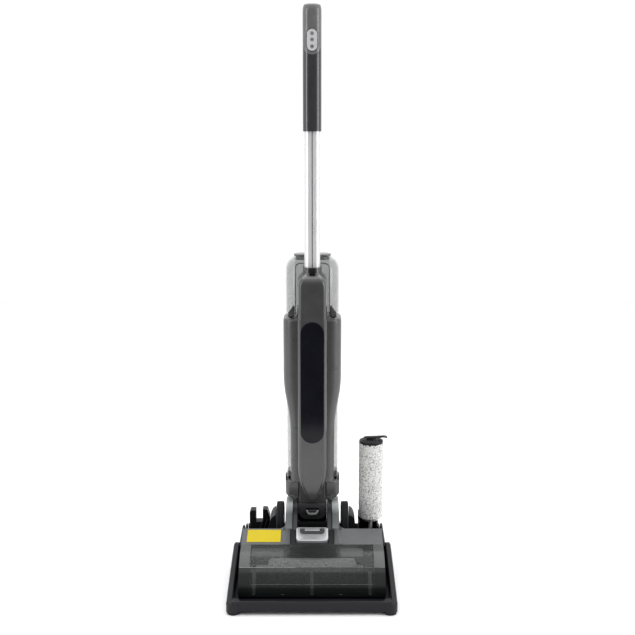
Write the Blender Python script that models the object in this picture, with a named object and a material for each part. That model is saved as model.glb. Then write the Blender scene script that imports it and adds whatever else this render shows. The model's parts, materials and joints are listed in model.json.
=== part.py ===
"""Wet dry floor scrubber, standing in its charging dock with a spare roller.

Metres, +Z up, -Y to the front, origin on the floor under the middle of the dock.
The machine is made of bodies that move: dock, spare roller, head with roller and wheels,
neck, mast with its two water tanks, and the pole with the handle and its buttons.
"""
from math import cos, pi, radians, sin

import bmesh
import bpy
from mathutils import Matrix, Vector

# ---------------------------------------------------------------- driving dimensions
GAP = 0.0003                 # running gap between neighbouring pieces

DOCK_HALF_WIDTH = 0.1550
DOCK_HALF_DEPTH = 0.1870
DOCK_REAR_HALF_WIDTH = 0.1440
DOCK_FLOOR_Z = 0.0100
DECK_TOP_Z = 0.0155
FOOT_HEIGHT = 0.0037
BOSS_RADIUS = 0.0135

HEAD_HALF_WIDTH = 0.1362
HEAD_INNER_HALF = 0.1337
BASE_BOTTOM_Z = 0.0125
BASE_TOP_Z = 0.0175
PANEL_FRONT = (-0.0480, 0.0780)      # y, z of the panel's front edge
PANEL_REAR = (0.0000, 0.0900)
PANEL_BACK_Y = 0.0065

ROLLER_Y = -0.0830
ROLLER_Z = 0.0385
PILE_RADIUS = 0.0255
CORE_RADIUS = 0.0190
PILE_HALF_LENGTH = 0.0825
ROLLER_PULLEY_RADIUS = 0.0125
MOTOR_PULLEY_RADIUS = 0.0075
MOTOR_SHAFT_RADIUS = 0.0030
PULLEY_LEFT_X = -0.1290
PULLEY_RIGHT_X = -0.1225
MOTOR_Y = -0.0220
MOTOR_Z = 0.0460

AXLE_Y = 0.1010
AXLE_Z = 0.0620
AXLE_RADIUS = 0.0040
WHEEL_RADIUS = 0.0460
WHEEL_INNER_X = 0.0585
WHEEL_OUTER_X = 0.0735
ARM_INNER_X = 0.0297
ARM_OUTER_X = 0.0535
ARM_RADIUS = 0.0555

SWIVEL_Y = 0.0980
NECK_TOP_Z = 0.1168
SPINE_HALF_WIDTH = 0.0295
SPINE_FRONT_Y = 0.0620
LOBE_HALF_WIDTH = 0.0578
LOBE_TOP_Z = 0.4945
TANK_BACK_Y = 0.1735
TANK_HALF_WIDTH = 0.0535
TANK_WALL = 0.0025

POLE_Y = 0.1000
POLE_HALF_WIDTH = 0.0155
POLE_HALF_DEPTH = 0.0120
POLE_BOTTOM_Z = 0.5600
POLE_TOP_Z = 0.8700
HANDLE_BOTTOM_Z = 0.8625
HANDLE_TOP_Z = 1.0955
HANDLE_HALF_WIDTH = 0.0180
HANDLE_FRONT_Y = 0.0835

SPARE_X = 0.1205
SPARE_Y = 0.1200
SPARE_BOTTOM_Z = 0.0680
SPARE_LENGTH = 0.1660

# name: (linear colour, roughness, metallic)
PALETTE = {
    "dock_plastic": ((0.030, 0.030, 0.036), 0.45, 0.0),
    "black_plastic": ((0.008, 0.008, 0.009), 0.40, 0.0),
    "rubber": ((0.012, 0.012, 0.013), 0.80, 0.0),
    "grey_plastic": ((0.105, 0.105, 0.110), 0.38, 0.0),
    "panel_plastic": ((0.110, 0.116, 0.125), 0.35, 0.0),
    "light_plastic": ((0.200, 0.200, 0.205), 0.30, 0.0),
    "smoky_clear": ((0.050, 0.060, 0.058), 0.08, 0.0),
    "clear_plastic": ((0.620, 0.630, 0.620), 0.06, 0.0),
    "black_gloss": ((0.006, 0.006, 0.008), 0.06, 0.0),
    "silver_plastic": ((0.520, 0.520, 0.530), 0.25, 0.6),
    "polished_tube": ((0.800, 0.800, 0.810), 0.15, 1.0),
    "steel": ((0.550, 0.550, 0.560), 0.30, 1.0),
    "white_pile": ((0.720, 0.720, 0.700), 0.95, 0.0),
    "pale_plastic": ((0.640, 0.640, 0.610), 0.40, 0.0),
    "yellow_film": ((0.820, 0.620, 0.010), 0.45, 0.0),
    "green_board": ((0.010, 0.130, 0.050), 0.50, 0.0),
    "battery_wrap": ((0.020, 0.060, 0.180), 0.40, 0.0),
}


# ---------------------------------------------------------------- modelling tools
def clear_scene():
    for obj in list(bpy.data.objects):
        bpy.data.objects.remove(obj, do_unlink=True)


def material(name):
    """The named material, made the first time that it is asked for."""
    found = bpy.data.materials.get(name)
    if found:
        return found
    colour, roughness, metallic = PALETTE[name]
    made = bpy.data.materials.new(name)
    made.use_nodes = True
    shader = made.node_tree.nodes["Principled BSDF"]
    shader.inputs["Base Color"].default_value = (*colour, 1.0)
    shader.inputs["Roughness"].default_value = roughness
    shader.inputs["Metallic"].default_value = metallic
    return made


def finish(name, bm, slot):
    """Turn a bmesh into an object with outward faces and smooth shading."""
    bmesh.ops.recalc_face_normals(bm, faces=bm.faces)
    mesh = bpy.data.meshes.new(name)
    bm.to_mesh(mesh)
    bm.free()
    mesh.shade_smooth()
    mesh.set_sharp_from_angle(angle=radians(32))
    obj = bpy.data.objects.new(name, mesh)
    bpy.context.collection.objects.link(obj)
    if slot:
        mesh.materials.append(material(slot))
    return obj


def loft(name, rings, slot=None):
    """A solid through rings of points with the same count, with flat ends."""
    bm = bmesh.new()
    loops = [[bm.verts.new(point) for point in ring] for ring in rings]
    count = len(loops[0])
    for lower, upper in zip(loops, loops[1:]):
        for i in range(count):
            j = (i + 1) % count
            bm.faces.new((lower[i], lower[j], upper[j], upper[i]))
    bm.faces.new(loops[0])
    bm.faces.new(loops[-1])
    return finish(name, bm, slot)


def rounded(half_width, front, back, front_r, back_r, steps=4):
    """A rounded rectangle in x and y, with its own radius in front and behind."""
    corners = (
        (half_width - back_r, back - back_r, back_r, 0),
        (-half_width + back_r, back - back_r, back_r, 90),
        (-half_width + front_r, front + front_r, front_r, 180),
        (half_width - front_r, front + front_r, front_r, 270),
    )
    points = []
    for x, y, r, start in corners:
        for k in range(steps + 1):
            a = radians(start + 90 * k / steps)
            points.append((x + r * cos(a), y + r * sin(a)))
    return points


def column(name, levels, slot=None, steps=4):
    """A loft up Z through levels of (z, half width, front y, back y, radius[, back radius])."""
    rings = []
    for z, half_width, front, back, *radii in levels:
        outline = rounded(half_width, front, back, radii[0], radii[-1], steps)
        rings.append([(x, y, z) for x, y in outline])
    return loft(name, rings, slot)


def slab(name, outline, axis, start, end, slot=None):
    """An outline pushed along an axis: (y, z) for X, (x, z) for Y and (x, y) for Z."""
    place = {
        "X": lambda a, b, t: (t, a, b),
        "Y": lambda a, b, t: (a, t, b),
        "Z": lambda a, b, t: (a, b, t),
    }[axis]
    return loft(name, [[place(a, b, t) for a, b in outline] for t in (start, end)], slot)


def block(name, low, high, slot=None):
    outline = [(low[0], low[1]), (high[0], low[1]), (high[0], high[1]), (low[0], high[1])]
    return slab(name, outline, "Z", low[2], high[2], slot)


def turned(name, profile, centre, axis, slot=None, steps=24):
    """A turned piece: (radius, place along the axis) points, closed on the axis or as a ring."""
    on_axis = profile[0][0] == 0
    place = {
        "X": lambda u, v, t: (t, centre[0] + u, centre[1] + v),
        "Y": lambda u, v, t: (centre[0] + u, t, centre[1] + v),
        "Z": lambda u, v, t: (centre[0] + u, centre[1] + v, t),
    }[axis]
    bm = bmesh.new()
    columns = []
    for k in range(steps):
        a = 2 * pi * k / steps
        points = [place(r * cos(a), r * sin(a), t) for r, t in profile if r > 0]
        columns.append([bm.verts.new(point) for point in points])
    rows = len(columns[0])
    for k in range(steps):
        here, after = columns[k], columns[(k + 1) % steps]
        for i in range(rows - 1):
            bm.faces.new((here[i], here[i + 1], after[i + 1], after[i]))
        if not on_axis:
            bm.faces.new((here[-1], here[0], after[0], after[-1]))
    if on_axis:
        bm.faces.new([ring[0] for ring in columns])
        bm.faces.new([ring[-1] for ring in columns])
    return finish(name, bm, slot)


def rod(name, radius, centre, axis, start, end, slot=None, steps=20):
    profile = [(0, start), (radius, start), (radius, end), (0, end)]
    return turned(name, profile, centre, axis, slot, steps)


def boolean(target, operation, *tools):
    """Cut, join or intersect the target with each tool, which is used up."""
    for tool in tools:
        modifier = target.modifiers.new(operation, "BOOLEAN")
        modifier.operation = operation
        modifier.object = tool
        bpy.context.view_layer.update()
        graph = bpy.context.evaluated_depsgraph_get()
        mesh = bpy.data.meshes.new_from_object(target.evaluated_get(graph))
        target.modifiers.remove(modifier)
        target.data = mesh
        bpy.data.objects.remove(tool, do_unlink=True)
    return target


def cut(target, *tools):
    return boolean(target, "DIFFERENCE", *tools)


def join(target, *tools):
    return boolean(target, "UNION", *tools)


def stadium(half_width, low, high, steps=10):
    """A capsule outline in x and z, standing upright."""
    points = []
    for centre, start in ((high - half_width, 0), (low + half_width, 180)):
        for k in range(steps + 1):
            a = radians(start + 180 * k / steps)
            points.append((half_width * cos(a), centre + half_width * sin(a)))
    return points


def belt_line(first, first_r, second, second_r, steps=10):
    """The outline round two circles whose centres lie along y, first in front of second."""
    lead = Vector(second) - Vector(first)
    base = lead.angle_signed(Vector((1, 0)))
    lean = pi / 2 + (first_r - second_r) / lead.length * -1
    points = []
    for centre, r, start, sweep in (
        (first, first_r, base + lean, 2 * pi - 2 * lean),
        (second, second_r, base - lean, 2 * lean),
    ):
        for k in range(steps + 1):
            a = start + sweep * k / steps
            points.append((centre[0] + r * cos(a), centre[1] + r * sin(a)))
    return points


def inset_line(points, distance):
    """An open line moved sideways, to its right when walked from its first point."""
    moved = []
    for i, point in enumerate(points):
        before = Vector(points[max(i - 1, 0)])
        after = Vector(points[min(i + 1, len(points) - 1)])
        direction = (after - before).normalized()
        side = Vector((direction.y, -direction.x))
        moved.append(tuple(Vector(point) + side * distance))
    return moved


def pivot(name, place, parent=None):
    """An empty on a joint's axis, which carries the pieces of one moving body."""
    empty = bpy.data.objects.new(name, None)
    empty.empty_display_size = 0.02
    empty.matrix_world = Matrix.Translation(place)
    bpy.context.collection.objects.link(empty)
    if parent:
        hold(parent, empty)
    return empty


def hold(parent, *children):
    bpy.context.view_layer.update()
    for child in children:
        child.parent = parent
        child.matrix_parent_inverse = parent.matrix_world.inverted()


# ---------------------------------------------------------------- dock
def dock_wall(side, stations, width):
    """Upright wall along the dock's side, through (y, outer x, top z), with a soft top edge."""
    soft = 0.0024
    rings = []
    for y, outer, top in stations:
        inner = outer - width
        ring = [
            (inner, 0.0060), (outer, 0.0060), (outer, top - soft),
            (outer - soft * 0.6, top), (inner + soft * 0.6, top), (inner, top - soft),
        ]
        rings.append([(side * x, y, z) for x, z in ring])
    return loft("rail", rings)


def dock_rails(side):
    """Thick rail that rises from the front corner, and a thinner fin behind it."""
    rail = (
        (-0.1760, 0.1545, 0.0225), (-0.1500, 0.1545, 0.0290), (-0.0400, 0.1545, 0.0510),
        (0.0040, 0.1545, 0.0585), (0.0140, 0.1540, 0.0570), (0.0180, 0.1530, 0.0520),
    )
    peak = 0.0610 if side < 0 else 0.0650
    fin = (
        (0.0000, 0.1445, 0.0560), (0.0900, 0.1440, peak), (0.1000, 0.1440, peak - 0.0015),
        (0.1060, 0.1440, 0.0420), (0.1100, 0.1440, 0.0295), (0.1830, 0.1435, 0.0295),
    )
    return dock_wall(side, rail, 0.0105), dock_wall(side, fin, 0.0048)


def wheel_guard(side):
    """Quarter-round wall beside a rear wheel."""
    inner, outer, top, shoulder = 0.0755, 0.0875, 0.0890, 0.0660
    arc = []
    for k in range(6):
        a = radians(90 * (1 - k / 5))
        arc.append((inner + (outer - inner) * cos(a), shoulder + (top - shoulder) * sin(a)))
    outline = [(inner, 0.0120)] + arc + [(outer, 0.0120)]
    return slab("guard", [(side * x, z) for x, z in outline], "Y", 0.0750, 0.1300)


def dock_tray():
    wide, front, rear = 0.1525, -0.1780, DOCK_REAR_HALF_WIDTH
    half = [
        (wide - 0.0065, front), (wide, front + 0.0065), (wide, 0.0160), (rear, 0.0240),
        (rear, DOCK_HALF_DEPTH - 0.0070), (rear - 0.0070, DOCK_HALF_DEPTH),
    ]
    outline = half + [(-x, y) for x, y in reversed(half)]
    tray = slab("dock_tray", outline, "Z", 0.0040, DOCK_FLOOR_Z, "dock_plastic")
    lip = [
        (-0.1845, 0.0076), (-0.1755, 0.0076), (-0.1755, 0.0220),
        (-0.1778, 0.0245), (-0.1820, 0.0245), (-0.1845, 0.0220),
    ]
    join(tray, slab("lip", lip, "X", -0.1440, 0.1440))
    wall = [(0.1800, 0.0060), (0.1865, 0.0060), (0.1865, 0.0270), (0.1840, 0.0295), (0.1800, 0.0295)]
    join(tray, slab("wall", wall, "X", -0.1380, 0.1380))
    for side in (-1, 1):
        corner = (side * (DOCK_HALF_WIDTH - BOSS_RADIUS), -DOCK_HALF_DEPTH + BOSS_RADIUS)
        boss = [(0, 0.0040), (BOSS_RADIUS, 0.0040), (BOSS_RADIUS, 0.0200), (0.0110, 0.0228), (0, 0.0228)]
        deck_x = sorted((side * 0.0575, side * 0.1400))
        join(
            tray,
            *dock_rails(side),
            turned("boss", boss, corner, "Z"),
            block("deck", (deck_x[0], 0.0350, 0.0080), (deck_x[1], 0.1820, DECK_TOP_Z)),
            wheel_guard(side),
        )
    return tray


def dock_feet():
    places = ((-0.1415, -0.1735), (0.1415, -0.1735), (-0.1270, 0.1720), (0.1270, 0.1720))
    names = ("front_left", "front_right", "rear_left", "rear_right")
    return [
        rod(f"dock_foot_{name}", 0.0118, place, "Z", 0.0, FOOT_HEIGHT, "rubber")
        for name, place in zip(names, places)
    ]


def tool_holder():
    """Forked stand for the cleaning brush, with an open slot."""
    outline = [
        (-0.1325, 0.0158), (-0.0895, 0.0158), (-0.0895, 0.0600), (-0.0950, 0.0770),
        (-0.1050, 0.0770), (-0.1050, 0.0500), (-0.1190, 0.0500), (-0.1190, 0.0750),
        (-0.1300, 0.0750), (-0.1325, 0.0700),
    ]
    return slab("tool_holder", outline, "Y", 0.1400, 0.1620, "black_plastic")


def roller_holder():
    """Stand for the spare roller: floor, low walls, a high back and a socket for its shaft."""
    left, right, front, back = 0.0955, 0.1368, 0.0960, 0.1530
    holder = block("roller_holder", (left, front, 0.0158), (right, back, 0.0225), "black_plastic")
    join(
        holder,
        block("back", (left, 0.1485, 0.0180), (0.1180, back, 0.0720)),
        block("back_right", (0.1170, 0.1485, 0.0180), (right, back - 0.0005, 0.0600)),
        block("left", (left, 0.1200, 0.0180), (left + 0.0030, back - 0.0010, 0.0555)),
        block("right", (right - 0.0030, 0.1000, 0.0180), (right, back - 0.0010, 0.0555)),
        rod("socket", 0.0090, (SPARE_X, SPARE_Y), "Z", 0.0200, 0.0340),
    )
    return cut(holder, rod("bore", 0.0039, (SPARE_X, SPARE_Y), "Z", 0.0235, 0.0400))


def charging_block():
    """Contact block behind the head, with a socket for the adapter's plug at the back."""
    body = block("charging_block", (-0.0265, 0.1560, 0.0103), (0.0265, 0.1796, 0.0400), "dock_plastic")
    return cut(body, rod("inlet", 0.0035, (0.0, 0.0345), "Y", 0.1700, 0.1900))


# ---------------------------------------------------------------- rollers
def spare_roller():
    low, high = SPARE_BOTTOM_Z, SPARE_BOTTOM_Z + SPARE_LENGTH
    centre = (SPARE_X, SPARE_Y)
    core = turned("spare_roller_core", [
        (0, 0.0240), (0.0035, 0.0240), (0.0035, low - 0.0040), (0.0160, low - 0.0040),
        (CORE_RADIUS, low), (CORE_RADIUS, high), (0, high),
    ], centre, "Z", "pale_plastic")
    inner = CORE_RADIUS + GAP
    pile = turned("spare_roller_pile", [
        (inner, low + 0.0005), (PILE_RADIUS - 0.0030, low + 0.0005), (PILE_RADIUS, low + 0.0035),
        (PILE_RADIUS, high - 0.0035), (PILE_RADIUS - 0.0030, high - 0.0005), (inner, high - 0.0005),
    ], centre, "Z", "white_pile", 28)
    cap = rod("spare_roller_cap", 0.0200, centre, "Z", high + GAP, high + 0.0060, "black_plastic")
    join(cap, block(
        "tab", (SPARE_X - 0.0060, SPARE_Y - 0.0060, high + 0.0040),
        (SPARE_X + 0.0330, SPARE_Y + 0.0060, high + 0.0095),
    ))
    return core, pile, cap


def roller():
    """The roller in the head, whose core carries its belt pulley at the left."""
    centre = (ROLLER_Y, ROLLER_Z)
    end = PILE_HALF_LENGTH
    core = turned("roller_core", [
        (0, PULLEY_LEFT_X), (ROLLER_PULLEY_RADIUS, PULLEY_LEFT_X), (ROLLER_PULLEY_RADIUS, PULLEY_RIGHT_X),
        (AXLE_RADIUS, PULLEY_RIGHT_X), (AXLE_RADIUS, -0.1060), (0.0120, -0.1060), (0.0120, -end), (CORE_RADIUS, -end), (CORE_RADIUS, end), (0.0120, end),
        (0.0120, 0.0965), (AXLE_RADIUS, 0.0965), (AXLE_RADIUS, 0.1120), (0, 0.1120),
    ], centre, "X", "pale_plastic")
    inner = CORE_RADIUS + GAP
    pile = turned("roller_pile", [
        (inner, -end + 0.0005), (PILE_RADIUS - 0.0030, -end + 0.0005), (PILE_RADIUS, -end + 0.0035),
        (PILE_RADIUS, end - 0.0035), (PILE_RADIUS - 0.0030, end - 0.0005), (inner, end - 0.0005),
    ], centre, "X", "white_pile", 28)
    return core, pile


def motor_pulley():
    bore = MOTOR_SHAFT_RADIUS + GAP
    return turned("motor_pulley", [
        (bore, PULLEY_LEFT_X), (MOTOR_PULLEY_RADIUS, PULLEY_LEFT_X),
        (MOTOR_PULLEY_RADIUS, PULLEY_RIGHT_X), (bore, PULLEY_RIGHT_X),
    ], (MOTOR_Y, MOTOR_Z), "X", "black_plastic", 20)


def roller_end_cap():
    """Bearing block that holds the roller's right end, with a tab to pull it out."""
    cap = turned("roller_end_cap", [
        (0.0046, 0.0980), (0.0215, 0.0980), (0.0225, 0.0995), (0.0225, 0.1160), (0.0046, 0.1160),
    ], (ROLLER_Y, ROLLER_Z), "X", "black_plastic")
    return join(cap, block("tab", (0.1000, -0.0780, 0.0560), (0.1158, -0.0580, 0.0680)))


# ---------------------------------------------------------------- head
COVER_LINE = [
    (-0.0484, 0.0779), (-0.0750, 0.0730), (-0.0950, 0.0658), (-0.1085, 0.0580), (-0.1195, 0.0490),
    (-0.1280, 0.0400), (-0.1345, 0.0300), (-0.1385, 0.0210), (-0.1395, 0.0145),
]


def shell_space(line, wall):
    """The outline of the hollow under a line, open towards the back and below."""
    inner = inset_line(line, -wall)
    return [(0.0, 0.0), (0.0, inner[0][1])] + inner + [(inner[-1][0], 0.0)]


def brush_cover():
    """Clear cover over the roller, with closed ends."""
    outline = COVER_LINE + [(COVER_LINE[0][0], COVER_LINE[-1][1])]
    cover = slab("brush_cover", outline, "X", -HEAD_HALF_WIDTH, HEAD_HALF_WIDTH, "smoky_clear")
    space = shell_space(COVER_LINE, 0.0024)
    return cut(cover, slab("space", space, "X", -HEAD_INNER_HALF, HEAD_INNER_HALF))


def head_base():
    """Floor of the head, with the roller's opening, its back wall and the rear tongue."""
    wide, tongue = 0.1330, 0.0555
    outline = [
        (-wide, -0.1345), (wide, -0.1345), (wide, 0.0020), (tongue, 0.0020),
        (tongue, 0.1500), (-tongue, 0.1500), (-tongue, 0.0020), (-wide, 0.0020),
    ]
    base = slab("head_base", outline, "Z", BASE_BOTTOM_Z, BASE_TOP_Z, "black_plastic")
    cut(base, block("bay", (-0.1160, -0.1180, 0.0), (0.1160, -0.0528, 0.0300)))
    return join(base, block("wall", (-0.1160, -0.0528, 0.0150), (0.1160, -0.0500, 0.0390)))


def end_plate(name, side):
    """Side plate that carries an end of the roller."""
    inner = inset_line(COVER_LINE, -0.0032)[:-1]
    outline = [(0.0020, 0.0180), (0.0020, 0.0720), (-0.0450, 0.0720)] + inner
    outline += [(inner[-1][0] + 0.0005, 0.0180)]
    x = sorted((side * 0.1170, side * 0.1330))
    return slab(name, outline, "X", x[0], x[1], "black_plastic")


def end_plates():
    left = end_plate("end_plate_left", -1)
    chamber = belt_line((ROLLER_Y, ROLLER_Z), 0.0160, (MOTOR_Y, MOTOR_Z), 0.0110)
    cut(left, slab("chamber", chamber, "X", -0.1305, -0.1100))
    return left, end_plate("end_plate_right", 1)


def drive_belt():
    first, second = (ROLLER_Y, ROLLER_Z), (MOTOR_Y, MOTOR_Z)
    inner, thick = 0.0004, 0.0016
    rings = []
    for extra, x in ((inner + thick, -0.1285), (inner + thick, -0.1230), (inner, -0.1230), (inner, -0.1285)):
        line = belt_line(first, ROLLER_PULLEY_RADIUS + extra, second, MOTOR_PULLEY_RADIUS + extra)
        rings.append([(x, y, z) for y, z in line])
    bm = bmesh.new()
    loops = [[bm.verts.new(point) for point in ring] for ring in rings]
    count = len(loops[0])
    for k in range(4):
        here, after = loops[k], loops[(k + 1) % 4]
        for i in range(count):
            j = (i + 1) % count
            bm.faces.new((here[i], here[j], after[j], after[i]))
    return finish("drive_belt", bm, "rubber")


def brush_motor():
    return turned("brush_motor", [
        (0, -0.1295), (MOTOR_SHAFT_RADIUS, -0.1295), (MOTOR_SHAFT_RADIUS, -0.1150), (0.0185, -0.1150),
        (0.0185, -0.0600), (0.0080, -0.0600), (0.0080, -0.0560), (0, -0.0560),
    ], (MOTOR_Y, MOTOR_Z), "X", "steel")


def top_panel():
    """Sloping hood behind the clear cover, cut out for the release button."""
    (front_y, front_z), (rear_y, rear_z) = PANEL_FRONT, PANEL_REAR
    soft, wall, low = 0.0030, 0.0029, 0.0180
    outline = [
        (front_y, low), (front_y, front_z), (rear_y, rear_z), (PANEL_BACK_Y - soft, rear_z),
        (PANEL_BACK_Y, rear_z - soft), (PANEL_BACK_Y, low),
    ]
    hood = slab("top_panel", outline, "X", -HEAD_HALF_WIDTH, HEAD_HALF_WIDTH, "panel_plastic")
    slope = (rear_z - front_z) / (rear_y - front_y)
    space = [
        (-0.0600, 0.0), (-0.0600, front_z - wall - slope * 0.0120), (rear_y, rear_z - wall),
        (PANEL_BACK_Y - wall, rear_z - wall), (PANEL_BACK_Y - wall, 0.0),
    ]
    cut(hood, slab("space", space, "X", -HEAD_INNER_HALF, HEAD_INNER_HALF))
    return cut(hood, block("window", (-0.0428, -0.0440, 0.0600), (0.0428, 0.0200, 0.1000)))


def button_bezel():
    """Dark tray round the release button."""
    outline = [(-0.0437, 0.0640), (-0.0437, 0.0756), (0.0000, 0.0866), (0.0062, 0.0866), (0.0062, 0.0640)]
    bezel = slab("button_bezel", outline, "X", -0.0425, 0.0425, "black_plastic")
    return cut(bezel, block("pocket", (-0.0318, -0.0380, 0.0700), (0.0318, 0.0040, 0.1000)))


def cover_release_button():
    outline = [
        (-0.0374, 0.0735), (-0.0374, 0.0805), (-0.0345, 0.0835),
        (0.0005, 0.0925), (0.0034, 0.0905), (0.0034, 0.0735),
    ]
    button = slab("cover_release_button", outline, "X", -0.0312, 0.0312, "silver_plastic")
    return cut(button, block("dish", (-0.0220, -0.0180, 0.0850), (0.0220, -0.0020, 0.1000)))


def suction_duct():
    """Mouth that draws the dirty water off the roller."""
    outline = [
        (-0.0505, 0.0400), (-0.0560, 0.0400), (-0.0575, 0.0480), (-0.0640, 0.0575),
        (-0.0750, 0.0648), (-0.0750, 0.0688), (-0.0600, 0.0718), (-0.0505, 0.0735),
    ]
    return slab("suction_duct", outline, "X", -0.0530, 0.0530, "black_plastic")


def yoke_arm(name, side):
    """Arm that holds an end of the neck's axle."""
    outline = [(0.0070, 0.0180), (0.0070, 0.0880), (0.0200, 0.0950), (0.0450, 0.1075), (0.0700, 0.1150)]
    for k in range(7):
        a = radians(95 - 14 * k)
        outline.append((AXLE_Y + ARM_RADIUS * cos(a), AXLE_Z + ARM_RADIUS * sin(a)))
    outline += [(0.1480, 0.0330), (0.1480, 0.0180)]
    x = sorted((side * ARM_INNER_X, side * ARM_OUTER_X))
    arm = slab(name, outline, "X", x[0], x[1], "panel_plastic")
    return cut(arm, rod("bore", AXLE_RADIUS + GAP, (AXLE_Y, AXLE_Z), "X", x[0] - 0.01, x[1] + 0.01))


def wheel(name, side):
    centre = (AXLE_Y, AXLE_Z)
    inner, outer = side * WHEEL_INNER_X, side * WHEEL_OUTER_X
    rim, soft = 0.0320, side * 0.0020
    hub = turned(f"{name}_hub", [
        (0, outer), (rim, outer), (rim, inner), (AXLE_RADIUS + GAP, inner),
        (AXLE_RADIUS + GAP, side * 0.0709), (0, side * 0.0709),
    ], centre, "X", "black_plastic")
    tyre = turned(f"{name}_tyre", [
        (rim + GAP, inner), (WHEEL_RADIUS - 0.0020, inner), (WHEEL_RADIUS, inner + soft),
        (WHEEL_RADIUS, outer - soft), (WHEEL_RADIUS - 0.0020, outer), (rim + GAP, outer),
    ], centre, "X", "rubber", 32)
    return hub, tyre


# ---------------------------------------------------------------- neck
def neck_block():
    """Knuckle on the axle, with the spigot that the mast turns on."""
    neck = rod("neck_block", 0.0280, (AXLE_Y, AXLE_Z), "X", -0.0290, 0.0290, "black_plastic", 28)
    stem = column("stem", [
        (0.0600, 0.0275, 0.0760, 0.1280, 0.006), (0.0900, 0.0275, 0.0700, 0.1320, 0.008),
        (NECK_TOP_Z, 0.0275, 0.0700, 0.1320, 0.010),
    ])
    join(neck, stem, rod("spigot", 0.0120, (0, SWIVEL_Y), "Z", 0.1100, 0.1400))
    bore = rod("bore", AXLE_RADIUS + GAP, (AXLE_Y, AXLE_Z), "X", -0.05, 0.05)
    return cut(neck, bore, block("pocket", (-0.0133, 0.0500, 0.0930), (0.0133, 0.0750, 0.1066)))


def neck_latch():
    return block("neck_latch", (-0.0127, 0.0670, 0.0938), (0.0127, 0.0727, 0.1058), "silver_plastic")


# ---------------------------------------------------------------- mast
def spine_shell():
    """Front housing: tongue at the foot, flat face for the display, socket for the pole."""
    front, thin = SPINE_FRONT_Y, 0.0745
    wide = SPINE_HALF_WIDTH
    shell = column("spine_shell", [
        (0.1195, 0.0060, front + 0.0035, thin, 0.0040), (0.1215, 0.0120, front + 0.0020, thin, 0.0045),
        (0.1265, 0.0170, front + 0.0010, thin, 0.0050), (0.1350, 0.0210, front, thin, 0.0055),
        (0.1470, 0.0245, front, thin, 0.0060), (0.1600, 0.0268, front, thin, 0.0060),
        (0.1750, 0.0287, front, thin, 0.0060), (0.1950, wide, front, thin, 0.0060),
        (0.4948, wide, front, thin, 0.0060), (0.4953, wide, front, 0.1250, 0.0060),
        (0.5500, wide, front, 0.1250, 0.0065), (0.5640, 0.0290, front + 0.0005, 0.1250, 0.0080),
        (0.5730, 0.0265, front + 0.0030, 0.1250, 0.0100), (0.5790, 0.0225, front + 0.0090, 0.1240, 0.0120),
        (0.5830, 0.0192, front + 0.0170, 0.1230, 0.0130), (0.5960, 0.0188, front + 0.0180, 0.1200, 0.0130),
    ], "grey_plastic")
    socket = column("socket", [
        (z, POLE_HALF_WIDTH + GAP, POLE_Y - POLE_HALF_DEPTH - GAP, POLE_Y + POLE_HALF_DEPTH + GAP, 0.011)
        for z in (POLE_BOTTOM_Z - GAP, 0.6100)
    ])
    return cut(
        shell,
        slab("display", stadium(0.0235, 0.2457, 0.4913), "Y", 0.0500, 0.0638),
        block("hollow", (-0.0262, 0.0668, 0.2000), (0.0262, 0.0900, 0.4890)),
        block("upper_hollow", (-0.0262, 0.0668, 0.4860), (0.0262, 0.1215, 0.5520)),
        socket,
        block("button", (-0.0056, 0.0500, 0.5808), (0.0056, 0.0860, 0.5952)),
    )


def rear_cradle():
    """Rear housing: foot ring, battery case, and the wide motor case under the clean tank."""
    front, back = 0.0750, 0.1120
    cradle = column("rear_cradle", [
        (0.1320, 0.0546, front + 0.0015, back, 0.0140, 0.0040),
        (0.1540, 0.0550, front + 0.0015, back, 0.0140, 0.0040),
        (0.1562, 0.0540, front + 0.0015, back, 0.0140, 0.0040),
        (0.1566, 0.0428, front, back, 0.0140, 0.0040),
        (0.2680, 0.0432, front, back, 0.0140, 0.0040), (0.2950, 0.0465, front, back, 0.0150, 0.0040),
        (0.3270, 0.0525, front, back, 0.0180, 0.0040), (0.3444, 0.0557, front, back, 0.0200, 0.0040),
        (0.3450, 0.0558, front, 0.1725, 0.0200, 0.0300),
        (0.3700, LOBE_HALF_WIDTH, front, TANK_BACK_Y, 0.0220, 0.0320),
        (0.4860, LOBE_HALF_WIDTH, front, TANK_BACK_Y, 0.0220, 0.0320),
        (0.4920, LOBE_HALF_WIDTH - 0.0015, front + 0.0015, 0.1720, 0.0210, 0.0310),
        (LOBE_TOP_Z, LOBE_HALF_WIDTH - 0.0042, front + 0.0040, 0.1695, 0.0190, 0.0290),
    ], "grey_plastic")
    cut(
        cradle,
        block("foot_gap", (-0.0286, 0.0500, 0.1200), (0.0286, 0.1200, 0.1592)),
        block("battery_bay", (-0.0268, 0.0500, 0.1640), (0.0268, 0.1092, 0.3420)),
        block("board_bay", (-0.0268, 0.0500, 0.3560), (0.0268, 0.0838, 0.4860)),
        rod("motor_bay", 0.0405, (0, 0.1290), "Z", 0.3300, 0.4500),
    )
    for side in (-1, 1):
        x = (side * 0.0518, side * 0.0548)
        outline = [(x[0], 0.1500), (x[1], 0.1500), (x[1], 0.1600), (side * 0.0543, 0.1660), (side * 0.0528, 0.1668)]
        join(cradle, slab("hook", outline, "Y", 0.0930, 0.1105))
    return cradle


def swivel_socket():
    """Dark sleeve behind the tongue, bored for the neck's spigot."""
    sleeve = column("swivel_socket", [
        (0.1173, 0.0270, 0.0760, 0.1110, 0.0060), (0.1200, 0.0280, 0.0750, 0.1118, 0.0060),
        (0.1588, 0.0280, 0.0750, 0.1118, 0.0060),
    ], "black_plastic")
    return cut(sleeve, rod("bore", 0.0123, (0, SWIVEL_Y), "Z", 0.1000, 0.1420))


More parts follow.
